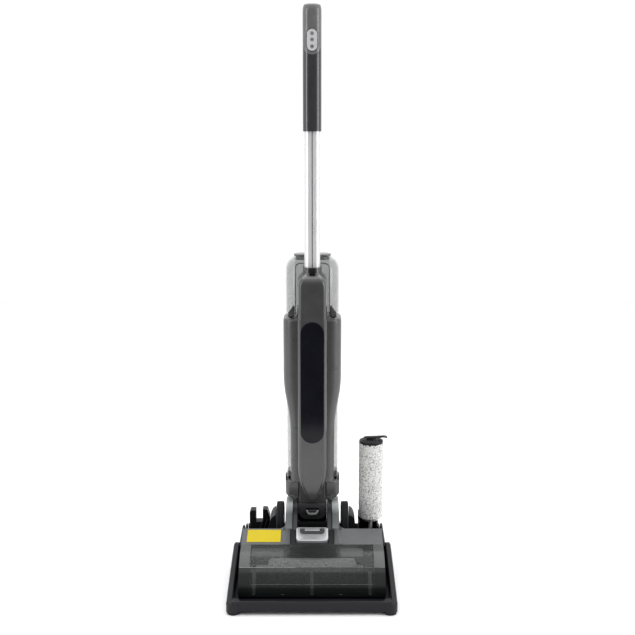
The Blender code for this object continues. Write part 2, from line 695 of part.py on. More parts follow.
def base_collar():
    collar = column("base_collar", [
        (0.1195, 0.0430, 0.0830, 0.1600, 0.0200), (0.1215, 0.0495, 0.0795, 0.1660, 0.0250),
        (0.1250, 0.0534, 0.0772, 0.1705, 0.0280), (0.1306, 0.0548, 0.0765, 0.1728, 0.0290),
    ], "grey_plastic")
    return cut(collar, block("notch", (-0.0286, 0.0400, 0.1100), (0.0286, 0.1126, 0.1400)))


def display_lens():
    return slab("display_lens", stadium(0.0232, 0.2460, 0.4910), "Y", 0.0614, 0.0635, "black_gloss")


def inner_parts():
    battery = column("battery_pack", [
        (z, 0.0260, 0.0765, 0.1085, 0.006) for z in (0.1660, 0.3400)
    ], "battery_wrap")
    board = block("main_board", (-0.0250, 0.0790, 0.3600), (0.0250, 0.0806, 0.4820), "green_board")
    motor = turned("suction_motor", [
        (0, 0.3520), (0.0200, 0.3520), (0.0385, 0.3600), (0.0385, 0.4300), (0.0250, 0.4470), (0, 0.4470),
    ], (0, 0.1290), "Z", "black_plastic")
    return battery, board, motor


def tank_latch(name, side):
    outline = [
        (0.0345, 0.4957), (0.0470, 0.4957), (0.0478, 0.5010), (0.0440, 0.5100),
        (0.0375, 0.5215), (0.0345, 0.5215),
    ]
    return slab(name, [(side * x, z) for x, z in outline], "Y", 0.0790, 0.0870, "black_plastic")


# ---------------------------------------------------------------- tanks
def clean_tank():
    """Clear tank astride the spine, hollow, with an oval filler mouth at the top."""
    front, back, wide = 0.0885, TANK_BACK_Y, TANK_HALF_WIDTH
    levels = [
        (0.4952, wide - 0.0040, front + 0.0040, back - 0.0040, 0.0300),
        (0.4990, wide - 0.0010, front + 0.0010, back - 0.0010, 0.0330),
        (0.5080, wide, front, back, 0.0340), (0.5880, wide, front, back, 0.0340),
        (0.6000, wide - 0.0030, front + 0.0030, back - 0.0030, 0.0320),
        (0.6085, wide - 0.0080, front + 0.0080, back - 0.0080, 0.0300),
        (0.6125, wide - 0.0140, front + 0.0140, back - 0.0140, 0.0250),
    ]
    tank = column("clean_tank", levels, "clear_plastic")
    middle = 0.5540
    squeeze = 0.95
    inner = [
        (middle + (z - middle) * squeeze, half - TANK_WALL, y0 + TANK_WALL, y1 - TANK_WALL, r - 0.0015)
        for z, half, y0, y1, r in levels
    ]
    space = column("space", inner)
    cut(space, block("keep", (-0.0375, 0.0500, 0.4000), (0.0375, 0.1300, 0.7000)))
    cut(tank, block("notch", (-0.0350, 0.0500, 0.4000), (0.0350, 0.1275, 0.7000)), space)
    mouth = column("mouth", [(z, 0.0345, 0.1335, 0.1640, 0.014) for z in (0.6000, 0.6300)])
    return cut(tank, mouth)


def clean_tank_lid():
    return column("clean_tank_lid", [
        (0.6050, 0.0340, 0.1340, 0.1635, 0.0138), (0.6128, 0.0340, 0.1340, 0.1635, 0.0138),
        (0.6130, 0.0375, 0.1310, 0.1665, 0.0160), (0.6160, 0.0375, 0.1310, 0.1665, 0.0160),
        (0.6172, 0.0350, 0.1335, 0.1640, 0.0140),
    ], "light_plastic")


def dirty_tank():
    """Clear tank for the dirty water, open at the top under its lid."""
    front, back = 0.1130, 0.1715
    outer = [
        (0.1335, 0.0490, front + 0.0010, back - 0.0020, 0.0040, 0.0300),
        (0.1360, 0.0510, front, back, 0.0040, 0.0310), (0.1640, 0.0510, front, back, 0.0040, 0.0310),
        (0.1670, 0.0530, front, back + 0.0015, 0.0040, 0.0320),
        (0.3370, 0.0530, front, back + 0.0015, 0.0040, 0.0320),
    ]
    inner = [
        (max(z, 0.1365), half - 0.0022, y0 + 0.0022, y1 - 0.0022, 0.0025, r - 0.0022)
        for z, half, y0, y1, _, r in reversed(outer[1:])
    ]
    return column("dirty_tank", outer + inner, "clear_plastic")


def dirty_tank_lid():
    lid = column("dirty_tank_lid", [
        (0.3300, 0.0500, 0.1160, 0.1700, 0.0040, 0.0290), (0.3372, 0.0500, 0.1160, 0.1700, 0.0040, 0.0290),
        (0.3373, 0.0530, 0.1130, 0.1730, 0.0040, 0.0320), (0.3440, 0.0530, 0.1130, 0.1730, 0.0040, 0.0320),
    ], "grey_plastic")
    return cut(lid, rod("intake", 0.0160, (0, 0.1430), "Z", 0.3200, 0.3500))


def tank_base():
    """Grey shoe round the foot of the dirty water tank."""
    outer = [(z, 0.0549, 0.1126, TANK_BACK_Y, 0.0040, 0.0330) for z in (0.1312, 0.1560)]
    inner = [(z, 0.0514, 0.1127, 0.1719, 0.0038, 0.0312) for z in (0.1560, 0.1330)]
    shoe = column("tank_base", outer + inner, "grey_plastic")
    return cut(shoe, block("front", (-0.0600, 0.1000, 0.1330), (0.0600, 0.1131, 0.1700)))


# ---------------------------------------------------------------- pole and handle
def pole():
    def tube(extra, low, high):
        half, deep = POLE_HALF_WIDTH - extra, POLE_HALF_DEPTH - extra
        radius = 0.0110 - extra
        return column("pole", [(z, half, POLE_Y - deep, POLE_Y + deep, radius) for z in (low, high)],
                      "polished_tube")
    outer = tube(0.0, POLE_BOTTOM_Z, POLE_TOP_Z)
    cut(outer, tube(0.0018, 0.5000, 0.9000))
    groove_depth = 0.0009
    front = POLE_Y - POLE_HALF_DEPTH
    return cut(outer, block("groove", (-0.0009, 0.0500, 0.5000), (0.0009, front + groove_depth, 0.9000)))


def handle_form(name, slot=None):
    front, wide = HANDLE_FRONT_Y, HANDLE_HALF_WIDTH
    low, top = HANDLE_BOTTOM_Z, HANDLE_TOP_Z
    return column(name, [
        (low, wide - 0.0014, front + 0.0015, 0.1255, 0.0135), (low + 0.0030, wide, front, 0.1270, 0.0145),
        (0.9500, wide, front, 0.1270, 0.0145), (1.0600, wide, front, 0.1290, 0.0145),
        (top - 0.0140, wide, front + 0.0005, 0.1290, 0.0145),
        (top - 0.0050, wide - 0.0010, front + 0.0025, 0.1275, 0.0140),
        (top, wide - 0.0036, front + 0.0060, 0.1240, 0.0120),
    ], slot, 5)


def cap_outline(radius):
    """Front cover's outline: straight sides and a round lower end."""
    centre = 1.0015 + radius
    arc = [radians(180 + 180 * k / 10) for k in range(11)]
    points = [(radius * cos(a), centre + radius * sin(a)) for a in arc]
    return [(-radius, 1.2000)] + points + [(radius, 1.2000)]


def handle():
    seam = 0.0980
    shell = handle_form("handle_shell", "grey_plastic")
    bore = column("bore", [
        (z, POLE_HALF_WIDTH + GAP, POLE_Y - POLE_HALF_DEPTH - GAP, POLE_Y + POLE_HALF_DEPTH + GAP, 0.011)
        for z in (0.8000, POLE_TOP_Z + GAP)
    ])
    cut(shell, bore, slab("front", cap_outline(HANDLE_HALF_WIDTH + 2 * GAP), "Y", 0.0500, seam))
    cap = handle_form("handle_cap", "light_plastic")
    boolean(cap, "INTERSECT", slab("front", cap_outline(HANDLE_HALF_WIDTH + GAP), "Y", 0.0500, seam - GAP))
    cut(cap, slab("pocket", stadium(0.0103, 1.0077, 1.0483), "Y", 0.0500, 0.0870))
    return shell, cap


BUTTON_HEIGHTS = {"power_button": 1.0400, "mode_button": 1.0285, "self_clean_button": 1.0160}


def control_plate():
    plate = slab("control_plate", stadium(0.0100, 1.0080, 1.0480), "Y", 0.0824, 0.0855, "silver_plastic")
    return cut(plate, *[
        rod("hole", 0.0037, (0, z), "Y", 0.0500, 0.1000, None, 16) for z in BUTTON_HEIGHTS.values()
    ])


def handle_buttons():
    return {
        name: turned(name, [(0, 0.0816), (0.0028, 0.0816), (0.0034, 0.0821), (0.0034, 0.0850), (0, 0.0850)],
                     (0, z), "Y", "light_plastic", 16)
        for name, z in BUTTON_HEIGHTS.items()
    }


# ---------------------------------------------------------------- assembly
def build_dock():
    dock_tray()
    dock_feet()
    tool_holder()
    roller_holder()
    charging_block()
    hold(pivot("spare_roller_joint", (SPARE_X, SPARE_Y, SPARE_BOTTOM_Z)), *spare_roller())


def build_head():
    head = pivot("head_joint", (0, 0, BASE_BOTTOM_Z))
    hold(
        head, head_base(), *end_plates(), drive_belt(), brush_motor(), top_panel(), button_bezel(),
        suction_duct(), roller_end_cap(), yoke_arm("yoke_arm_left", -1), yoke_arm("yoke_arm_right", 1),
        block("scraper_blade", (-0.0900, -0.0562, 0.0330), (0.0900, -0.0531, 0.0385), "steel"),
        block("squeegee", (-0.1120, -0.0555, 0.0118), (0.1120, -0.0531, 0.0300), "rubber"),
        rod("wheel_axle", AXLE_RADIUS, (AXLE_Y, AXLE_Z), "X", -0.0705, 0.0705, "steel"),
        sticker(),
    )
    hold(pivot("brush_cover_joint", (0, ROLLER_Y, ROLLER_Z), head), brush_cover())
    hold(pivot("cover_button_joint", (0, -0.0170, 0.0735), head), cover_release_button())
    hold(pivot("roller_joint", (0, ROLLER_Y, ROLLER_Z), head), *roller())
    hold(pivot("motor_pulley_joint", (0, MOTOR_Y, MOTOR_Z), head), motor_pulley())
    for name, side in (("wheel_left", -1), ("wheel_right", 1)):
        hold(pivot(f"{name}_joint", (side * WHEEL_INNER_X, AXLE_Y, AXLE_Z), head), *wheel(name, side))
    return head


def sticker():
    """Plain coloured film on the panel's left side, laid on its slope."""
    (front_y, front_z), (rear_y, rear_z) = PANEL_FRONT, PANEL_REAR
    slope = (rear_z - front_z) / (rear_y - front_y)

    def surface(y):
        return front_z + (y - front_y) * slope
    low, high, lift, thick = -0.0410, -0.0030, 0.0002, 0.0004
    outline = [
        (low, surface(low) + lift), (high, surface(high) + lift),
        (high, surface(high) + lift + thick), (low, surface(low) + lift + thick),
    ]
    return slab("blank_sticker", outline, "X", -0.1260, -0.0610, "yellow_film")


def build_neck(head):
    neck = pivot("neck_joint", (0, AXLE_Y, AXLE_Z), head)
    hold(neck, neck_block())
    hold(pivot("neck_latch_joint", (0, 0.0670, 0.0998), neck), neck_latch())
    return neck


def build_mast(neck):
    mast = pivot("mast_joint", (0, SWIVEL_Y, NECK_TOP_Z), neck)
    hold(
        mast, spine_shell(), rear_cradle(), swivel_socket(), base_collar(), display_lens(), *inner_parts(),
    )
    for name, side in (("tank_latch_left", -1), ("tank_latch_right", 1)):
        hold(pivot(f"{name}_joint", (side * 0.0345, 0.0830, 0.5080), mast), tank_latch(name, side))
    hold(pivot("clean_tank_joint", (0, 0.1310, 0.4952), mast), clean_tank(), clean_tank_lid())
    hold(pivot("dirty_tank_joint", (0, 0.1126, 0.1312), mast), dirty_tank(), dirty_tank_lid(), tank_base())
    button = block("pole_button", (-0.0053, 0.0788, 0.5812), (0.0053, 0.0845, 0.5948), "black_plastic")
    hold(pivot("pole_button_joint", (0, 0.0788, 0.5880), mast), button)
    upper = pivot("pole_joint", (0, POLE_Y, POLE_BOTTOM_Z), mast)
    hold(upper, pole(), *handle(), control_plate())
    for name, obj in handle_buttons().items():
        hold(pivot(f"{name}_joint", (0, 0.0816, BUTTON_HEIGHTS[name]), upper), obj)


clear_scene()
build_dock()
build_mast(build_neck(build_head()))
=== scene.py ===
import json
from math import cos, pi, radians, sin

import bmesh
import bpy
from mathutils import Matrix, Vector, noise


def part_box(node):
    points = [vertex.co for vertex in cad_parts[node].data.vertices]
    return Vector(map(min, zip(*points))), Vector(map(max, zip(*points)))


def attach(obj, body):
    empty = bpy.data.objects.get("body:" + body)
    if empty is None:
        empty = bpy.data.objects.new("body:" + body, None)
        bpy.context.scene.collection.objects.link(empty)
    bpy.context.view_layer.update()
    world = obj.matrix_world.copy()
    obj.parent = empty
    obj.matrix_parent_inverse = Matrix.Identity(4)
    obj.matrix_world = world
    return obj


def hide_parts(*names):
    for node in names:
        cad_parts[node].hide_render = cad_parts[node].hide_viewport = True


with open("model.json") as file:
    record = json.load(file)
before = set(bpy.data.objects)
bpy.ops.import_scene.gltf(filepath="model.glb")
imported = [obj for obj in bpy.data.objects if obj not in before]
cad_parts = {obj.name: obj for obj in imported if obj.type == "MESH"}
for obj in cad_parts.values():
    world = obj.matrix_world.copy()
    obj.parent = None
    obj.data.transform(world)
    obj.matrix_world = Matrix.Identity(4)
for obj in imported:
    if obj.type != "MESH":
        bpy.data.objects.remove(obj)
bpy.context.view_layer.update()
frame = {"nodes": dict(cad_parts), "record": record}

NODE_BODY = {node: body for body, nodes in frame["record"]["behaviour"]["bodies"].items() for node in nodes}
ARM_INNER, ARM_SPLIT, ARM_OUTER = 0.0297, 0.0392, 0.0535
ARM_TOP, AXLE_BORE, SPIGOT_Y, POLE_CORNER = 0.1168, 0.0043, 0.098, 0.011
GAP = 0.0003
TINY = 0.00004
MM = 0.001
PILE_NOISE = ((420, 0.55), (900, 0.45), (160, 0.25))


class Box:
    """A CAD node's box with its corners, middle and half sizes by name."""

    def __init__(self, node):
        low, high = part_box(node)
        self.x0, self.y0, self.z0 = low
        self.x1, self.y1, self.z1 = high
        self.cx, self.cy, self.cz = (low + high) / 2
        self.hx, self.hy, self.hz = (high - low) / 2


# ================================================================ materials
def shader_of(mat):
    return mat.node_tree.nodes["Principled BSDF"]


def add(tree, kind, **settings):
    node = tree.nodes.new(kind)
    for key, value in settings.items():
        if key in node.inputs:
            node.inputs[key].default_value = value
        else:
            setattr(node, key, value)
    return node


def make(name, colour, rough, metallic=0.0, grain=0.0, grain_scale=1800.0, mottle=0.1,
         mottle_scale=35.0, rough_spread=0.12, edge=0.0, **sockets):
    """Moulded surface: mottled colour, uneven gloss, fine grain, and edges rubbed paler."""
    mat = bpy.data.materials.new(name)
    mat.use_nodes = True
    tree = mat.node_tree
    shader = shader_of(mat)
    shader.inputs["Metallic"].default_value = metallic
    for key, value in sockets.items():
        shader.inputs[key.replace("_", " ")].default_value = value
    place = add(tree, "ShaderNodeTexCoord")
    broad = add(tree, "ShaderNodeTexNoise", Scale=mottle_scale, Detail=4.0, Roughness=0.6)
    fine = add(tree, "ShaderNodeTexNoise", Scale=grain_scale, Detail=2.0, Roughness=0.5)
    for node in (broad, fine):
        tree.links.new(place.outputs["Object"], node.inputs["Vector"])
    ramp = add(tree, "ShaderNodeValToRGB")
    ramp.color_ramp.elements[0].position = 0.3
    ramp.color_ramp.elements[1].position = 0.7
    ramp.color_ramp.elements[0].color = (*[c * (1 - mottle) for c in colour], 1)
    ramp.color_ramp.elements[1].color = (*[min(1.0, c * (1 + mottle)) for c in colour], 1)
    tree.links.new(broad.outputs["Fac"], ramp.inputs["Fac"])
    out = ramp.outputs["Color"]
    if edge:
        shape = add(tree, "ShaderNodeNewGeometry")
        worn = add(tree, "ShaderNodeMapRange")
        for key, value in (("From Min", 0.53), ("From Max", 0.62), ("To Min", 0.0), ("To Max", edge)):
            worn.inputs[key].default_value = value
        tree.links.new(shape.outputs["Pointiness"], worn.inputs["Value"])
        blend = add(tree, "ShaderNodeMix", data_type="RGBA")
        blend.inputs[7].default_value = (*[min(1.0, c * 1.9 + 0.03) for c in colour], 1)
        tree.links.new(worn.outputs["Result"], blend.inputs[0])
        tree.links.new(out, blend.inputs[6])
        out = blend.outputs[2]
    tree.links.new(out, shader.inputs["Base Color"])
    gloss = add(tree, "ShaderNodeMapRange")
    low, high = max(0.02, rough * (1 - rough_spread)), min(1.0, rough * (1 + rough_spread))
    for key, value in (("From Min", 0.3), ("From Max", 0.7), ("To Min", low), ("To Max", high)):
        gloss.inputs[key].default_value = value
    tree.links.new(broad.outputs["Fac"], gloss.inputs["Value"])
    tree.links.new(gloss.outputs["Result"], shader.inputs["Roughness"])
    if grain:
        bump = add(tree, "ShaderNodeBump", Strength=grain, Distance=0.0002)
        tree.links.new(fine.outputs["Fac"], bump.inputs["Height"])
        tree.links.new(bump.outputs["Normal"], shader.inputs["Normal"])
    return mat


def brushed(name, colour, rough, stretch, metallic):
    """Drawn metal: fine lines along the length, in gloss and in relief."""
    mat = make(name, colour, rough, metallic=metallic, mottle=0.03)
    tree = mat.node_tree
    place = tree.nodes["Texture Coordinate"]
    mapping = add(tree, "ShaderNodeMapping")
    mapping.inputs["Scale"].default_value = stretch
    lines = add(tree, "ShaderNodeTexNoise", Scale=900.0, Detail=3.0)
    bump = add(tree, "ShaderNodeBump", Strength=0.06, Distance=0.0001)
    tree.links.new(place.outputs["Object"], mapping.inputs["Vector"])
    tree.links.new(mapping.outputs["Vector"], lines.inputs["Vector"])
    tree.links.new(lines.outputs["Fac"], bump.inputs["Height"])
    tree.links.new(bump.outputs["Normal"], shader_of(mat).inputs["Normal"])
    return mat


def pile_material(name, colour):
    """Microfibre: pale tips over darker patches painted as the shade deep in the pile, with a soft sheen.
    """
    mat = make(name, colour, 0.92, grain=0.9, grain_scale=1400.0, mottle=0.05, mottle_scale=300.0,
               Sheen_Weight=0.35, Sheen_Roughness=0.5)
    tree = mat.node_tree
    ramp = tree.nodes["Color Ramp"]
    # Painted shade: low noise values turn dark, standing in for shade among the fibres.
    ramp.color_ramp.elements[0].position = 0.33
    ramp.color_ramp.elements[0].color = (*[c * 0.3 for c in colour], 1)
    ramp.color_ramp.elements[1].position = 0.52
    ramp.color_ramp.elements[1].color = (*[min(1.0, c * 1.12) for c in colour], 1)
    return mat


def painted_top_highlight(mat, colour, start, end, share):
    """Painted highlight: blend towards a paler colour with height, standing in for light falling on the
    tops.
    """
    tree = mat.node_tree
    split = add(tree, "ShaderNodeSeparateXYZ")
    tree.links.new(tree.nodes["Texture Coordinate"].outputs["Object"], split.inputs["Vector"])
    height = add(tree, "ShaderNodeMapRange", interpolation_type="SMOOTHSTEP")
    for key, value in (("From Min", start), ("From Max", end), ("To Min", 0.0), ("To Max", share)):
        height.inputs[key].default_value = value
    tree.links.new(split.outputs["Z"], height.inputs["Value"])
    blend = add(tree, "ShaderNodeMix", data_type="RGBA")
    blend.inputs[7].default_value = (*colour, 1)
    base = shader_of(mat).inputs["Base Color"]
    tree.links.new(height.outputs["Result"], blend.inputs[0])
    tree.links.new(base.links[0].from_socket, blend.inputs[6])
    tree.links.new(blend.outputs[2], base)
    return mat


# Blender adds a number to a name that the CAD model already uses, so the key is cut at the dot.
MATERIALS = {mat.name.split(".")[0]: mat for mat in (
    make("grey_plastic", (0.06, 0.06, 0.062), 0.3, grain=0.05, edge=0.2,
         Coat_Weight=0.25, Coat_Roughness=0.18),
    make("spine_plastic", (0.047, 0.047, 0.049), 0.24, grain=0.04, edge=0.08,
         Coat_Weight=0.6, Coat_Roughness=0.14),
    make("dark_grip", (0.034, 0.034, 0.037), 0.2, grain=0.03, edge=0.15,
         Coat_Weight=0.45, Coat_Roughness=0.12),
    make("panel_plastic", (0.06, 0.064, 0.069), 0.36, grain=0.08, edge=0.15,
         Coat_Weight=0.12, Coat_Roughness=0.3),
    # Painted highlight: the arm and web tops turn pale with height, standing in for light on their rounded
    # tops.
    painted_top_highlight(make("arm_plastic", (0.044, 0.05, 0.051), 0.26, grain=0.05, edge=0.2,
         Coat_Weight=0.4, Coat_Roughness=0.18), (0.46, 0.48, 0.48), 0.105, 0.1175, 0.9),
    painted_top_highlight(make("web_plastic", (0.018, 0.019, 0.02), 0.34, grain=0.1, edge=0.1,
         Specular_IOR_Level=0.35), (0.34, 0.36, 0.36), 0.108, 0.1175, 0.8),
    make("light_plastic", (0.125, 0.125, 0.128), 0.26, grain=0.03, edge=0.25,
         Coat_Weight=0.3, Coat_Roughness=0.15),
    make("dock_plastic", (0.0105, 0.0105, 0.014), 0.46, grain=0.22, grain_scale=1300.0,
         edge=0.18, Specular_IOR_Level=0.22),
    make("black_plastic", (0.005, 0.005, 0.006), 0.42, grain=0.18, edge=0.2,
         Specular_IOR_Level=0.22),
    make("neck_plastic", (0.033, 0.033, 0.035), 0.34, grain=0.1, edge=0.25,
         Specular_IOR_Level=0.35),
    make("rubber", (0.011, 0.011, 0.013), 0.72, grain=0.35, grain_scale=900.0, mottle=0.25,
                   Specular_IOR_Level=0.3),
    make("black_gloss", (0.0055, 0.0055, 0.009), 0.1, mottle=0.2, Specular_IOR_Level=0.22),
    make("silver_plastic", (0.43, 0.435, 0.45), 0.24, metallic=0.55, grain=0.05),
    make("plate_silver", (0.62, 0.62, 0.63), 0.3, metallic=0.15, mottle=0.04),
    brushed("polished_tube", (0.78, 0.78, 0.79), 0.3, (1.0, 1.0, 0.02), 0.4),
    brushed("steel", (0.55, 0.55, 0.56), 0.28, (0.03, 1.0, 1.0), 1.0),
    pile_material("white_pile", (0.7, 0.7, 0.69)),
    make("pale_plastic", (0.6, 0.6, 0.57), 0.42, grain=0.06),
    make("yellow_film", (0.56, 0.43, 0.002), 0.42, grain=0.04, mottle=0.05,
         Specular_IOR_Level=0.2),
    make("green_board", (0.01, 0.13, 0.05), 0.45, mottle=0.3, mottle_scale=600.0),
    make("battery_wrap", (0.02, 0.06, 0.18), 0.35, mottle=0.12),
    make("clear_plastic", (0.26, 0.27, 0.27), 0.1, mottle=0.12, mottle_scale=60.0,
         Coat_Weight=0.6, Coat_Roughness=0.04, Alpha=0.3),
    make("tank_plastic", (0.36, 0.37, 0.37), 0.1, mottle=0.1, mottle_scale=60.0,
         Coat_Weight=0.6, Coat_Roughness=0.04, Alpha=0.26),
    make("smoky_clear", (0.009, 0.011, 0.011), 0.1, mottle=0.15, Alpha=0.68,
         Specular_IOR_Level=0.42),
    make("smoky_upper", (0.034, 0.038, 0.037), 0.1, mottle=0.2, Alpha=0.44,
         Specular_IOR_Level=0.5),
    make("cheek_plastic", (0.036, 0.04, 0.04), 0.3, mottle=0.15, Coat_Weight=0.3),
    # Painted highlights: pale and fainter finishes for the cover's crease lines, in place of the light they
    # catch.
    make("crease", (0.22, 0.235, 0.23), 0.22, mottle=0.45, mottle_scale=90.0),
    make("faint_crease_highlight", (0.075, 0.08, 0.078), 0.22, mottle=0.45, mottle_scale=90.0),
    make("smoky_edge", (0.006, 0.007, 0.007), 0.16, mottle=0.1, Specular_IOR_Level=0.28),
    make("smoky_rib", (0.026, 0.029, 0.028), 0.2, mottle=0.25, mottle_scale=90.0, Specular_IOR_Level=0.35),
    make("charcoal", (0.01, 0.0105, 0.012), 0.45, grain=0.1, Specular_IOR_Level=0.25),
    make("chassis", (0.32, 0.335, 0.33), 0.42, grain=0.08, mottle=0.15),
    make("shadow", (0.002, 0.002, 0.002), 0.6, mottle=0.1, Specular_IOR_Level=0.05),
)}


# ================================================================ modelling tools
def add_mesh(name, bm, material, sharp=34):
    bmesh.ops.recalc_face_normals(bm, faces=bm.faces)
    mesh = bpy.data.meshes.new(name)
    bm.to_mesh(mesh)
    bm.free()
    mesh.shade_smooth()
    mesh.set_sharp_from_angle(angle=radians(sharp))
    obj = bpy.data.objects.new(name, mesh)
    bpy.context.scene.collection.objects.link(obj)
    if material:
        mesh.materials.append(MATERIALS[material])
    return obj


def soften(obj, width, segments=3, angle=38):
    """Round every sharp edge by a small radius."""
    modifier = obj.modifiers.new("Soft edges", "BEVEL")
    modifier.width = width
    modifier.segments = segments
    modifier.limit_method = "ANGLE"
    modifier.angle_limit = radians(angle)
    modifier.use_clamp_overlap = True
    modifier.harden_normals = False
    return obj


def stand_in(obj, *nodes):
    """The fine piece takes the place of CAD nodes, on their body."""
    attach(obj, NODE_BODY[nodes[0]])
    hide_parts(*nodes)
    return obj


def extra(obj, near):
    """A small detail that moves with the body of a CAD node."""
    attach(obj, NODE_BODY[near])
    return obj


def loft(name, rings, material=None, sharp=34):
    bm = bmesh.new()
    loops = [[bm.verts.new(point) for point in ring] for ring in rings]
    count = len(loops[0])
    for lower, upper in zip(loops, loops[1:]):
        for i in range(count):
            j = (i + 1) % count
            bm.faces.new((lower[i], lower[j], upper[j], upper[i]))
    bm.faces.new(loops[0])
    bm.faces.new(loops[-1])
    return add_mesh(name, bm, material, sharp)


def closed_loft(name, rings, material=None, sharp=34):
    """A loft whose last ring joins its first, like a belt or a sleeve."""
    bm = bmesh.new()
    loops = [[bm.verts.new(point) for point in ring] for ring in rings]
    count, rows = len(loops[0]), len(loops)
    for k in range(rows):
        here, after = loops[k], loops[(k + 1) % rows]
        for i in range(count):
            j = (i + 1) % count
            bm.faces.new((here[i], here[j], after[j], after[i]))
    return add_mesh(name, bm, material, sharp)


def arc(centre, radius, start, end, steps, rise=None):
    """Points on part of a circle, or of an ellipse where a rise is given, between two angles in degrees."""
    angles = [radians(start + (end - start) * k / steps) for k in range(steps + 1)]
    return [(centre[0] + radius * cos(a), centre[1] + (rise or radius) * sin(a)) for a in angles]


def rounded(half_width, front, back, front_r, back_r, steps):
    corners = (
        (half_width - back_r, back - back_r, back_r, 0),
        (-half_width + back_r, back - back_r, back_r, 90),
        (-half_width + front_r, front + front_r, front_r, 180),
        (half_width - front_r, front + front_r, front_r, 270),
    )
    points = []
    for x, y, r, start in corners:
        points += arc((x, y), r, start, start + 90, steps)
    return points


def inset(b, from_foot, from_top):
    """Column levels in mm from a box's foot and top: up, in from its side, front and back, and radii."""
    levels = []
    for base, rows in ((b.z0, from_foot), (b.z1, from_top)):
        for up, side, front, back, *radii in rows:
            radii = [r * MM for r in radii]
            levels.append((base + up * MM, b.hx - side * MM, b.y0 + front * MM, b.y1 - back * MM, *radii))
    return levels


def column(name, levels, material=None, steps=12, sharp=34):
    """A loft up Z through (z, half width, front y, back y, front radius[, back radius])."""
    rings = []
    for z, half_width, front, back, *radii in levels:
        outline = rounded(half_width, front, back, radii[0], radii[-1], steps)
        rings.append([(x, y, z) for x, y in outline])
    return loft(name, rings, material, sharp)


def eased(levels, parts=6):
    """More levels between those given, on a smooth curve through them."""
    fine = []
    last = len(levels) - 1
    for i in range(last):
        p0, p1 = levels[max(i - 1, 0)], levels[i]
        p2, p3 = levels[i + 1], levels[min(i + 2, last)]
        for k in range(parts):
            t = k / parts
            fine.append(tuple(
                b + 0.5 * t * (c - a + t * (2 * a - 5 * b + 4 * c - d + t * (3 * b - a - 3 * c + d)))
                for a, b, c, d in zip(p0, p1, p2, p3)
            ))
    return fine + [tuple(levels[last])]


def slab(name, outline, axis, start, end, material=None, sharp=34):
    place = {
        "X": lambda a, b, t: (t, a, b),
        "Y": lambda a, b, t: (a, t, b),
        "Z": lambda a, b, t: (a, b, t),
    }[axis]
    return loft(name, [[place(a, b, t) for a, b in outline] for t in (start, end)], material, sharp)


def band(name, half, depth, height, material=None):
    """A block centred across the object, between two depths and two heights."""
    return block(name, (-half, depth[0], height[0]), (half, depth[1], height[1]), material)


def block(name, low, high, material=None):
    outline = [(low[0], low[1]), (high[0], low[1]), (high[0], high[1]), (low[0], high[1])]
    return slab(name, outline, "Z", low[2], high[2], material)


def turned(name, profile, centre, axis, material=None, steps=64, sharp=34):
    on_axis = profile[0][0] == 0
    place = {
        "X": lambda u, v, t: (t, centre[0] + u, centre[1] + v),
        "Y": lambda u, v, t: (centre[0] + u, t, centre[1] + v),
        "Z": lambda u, v, t: (centre[0] + u, centre[1] + v, t),
    }[axis]
    bm = bmesh.new()
    columns = []
    for k in range(steps):
        a = 2 * pi * k / steps
        columns.append([bm.verts.new(place(r * cos(a), r * sin(a), t)) for r, t in profile if r > 0])
    rows = len(columns[0])
    for k in range(steps):
        here, after = columns[k], columns[(k + 1) % steps]
        for i in range(rows - 1):
            bm.faces.new((here[i], here[i + 1], after[i + 1], after[i]))
        if not on_axis:
            bm.faces.new((here[-1], here[0], after[0], after[-1]))
    if on_axis:
        bm.faces.new([ring[0] for ring in columns])
        bm.faces.new([ring[-1] for ring in columns])
    return add_mesh(name, bm, material, sharp)


def rod(name, radius, centre, axis, start, end, material=None, steps=40):
    return turned(name, [(0, start), (radius, start), (radius, end), (0, end)], centre, axis, material,
                  steps)


def boolean(target, operation, *tools):
    for tool in tools:
        modifier = target.modifiers.new(operation, "BOOLEAN")
        modifier.operation = operation
        modifier.object = tool
        bpy.context.view_layer.update()
        graph = bpy.context.evaluated_depsgraph_get()
        mesh = bpy.data.meshes.new_from_object(target.evaluated_get(graph))
        target.modifiers.remove(modifier)
        target.data = mesh
        bpy.data.objects.remove(tool, do_unlink=True)
    target.data.shade_smooth()
    target.data.set_sharp_from_angle(angle=radians(30))
    return target


def cut(target, *tools):
    return boolean(target, "DIFFERENCE", *tools)


def join(target, *tools):
    return boolean(target, "UNION", *tools)


def stadium(half_width, low, high, steps=24):
    points = []
    for centre, start in ((high - half_width, 0), (low + half_width, 180)):
        points += arc((0, centre), half_width, start, start + 180, steps)
    return points


def offset_line(points, distance):
    moved = []
    for i, point in enumerate(points):
        before = Vector(points[max(i - 1, 0)])
        after = Vector(points[min(i + 1, len(points) - 1)])
        direction = (after - before).normalized()
        moved.append(tuple(Vector(point) + Vector((direction.y, -direction.x)) * distance))
    return moved


def smooth_line(points, parts=5):
    return [tuple(p) for p in eased(points, parts)]


def refine(node, material, width=0.0006, segments=2):
    """A CAD node whose shape is right: welded corners, softened edges and its real finish."""
    obj = frame["nodes"][node]
    weld = obj.modifiers.new("Weld", "WELD")
    weld.merge_threshold = 0.00001
    if width:
        soften(obj, width, segments, 40)
    obj.data.materials.clear()
    obj.data.materials.append(MATERIALS[material])
    return obj


# ================================================================ handle and pole
def handle_levels(b):
    return inset(b, [
        (0, 1.4, 1.6, 4.5, 13.5), (0.9, 0.4, 0.6, 3.5, 14.2), (3, 0, 0.1, 3, 14.5), (90, 0, 0.1, 2.5, 14.5),
    ], [
        (-40, 0, 0.1, 0.5, 14.5), (-15, 0, 0.6, 0.5, 14.5), (-7, 0.6, 2, 1.6, 14.3),
        (-2.5, 2, 4, 3.6, 13), (-0.4, 4.2, 6.8, 6.6, 10.8),
    ])


def cap_outline(radius, low, high):
    centre = low + radius
    return [(-radius, high)] + arc((0, centre), radius, 180, 360, 28) + [(radius, high)]


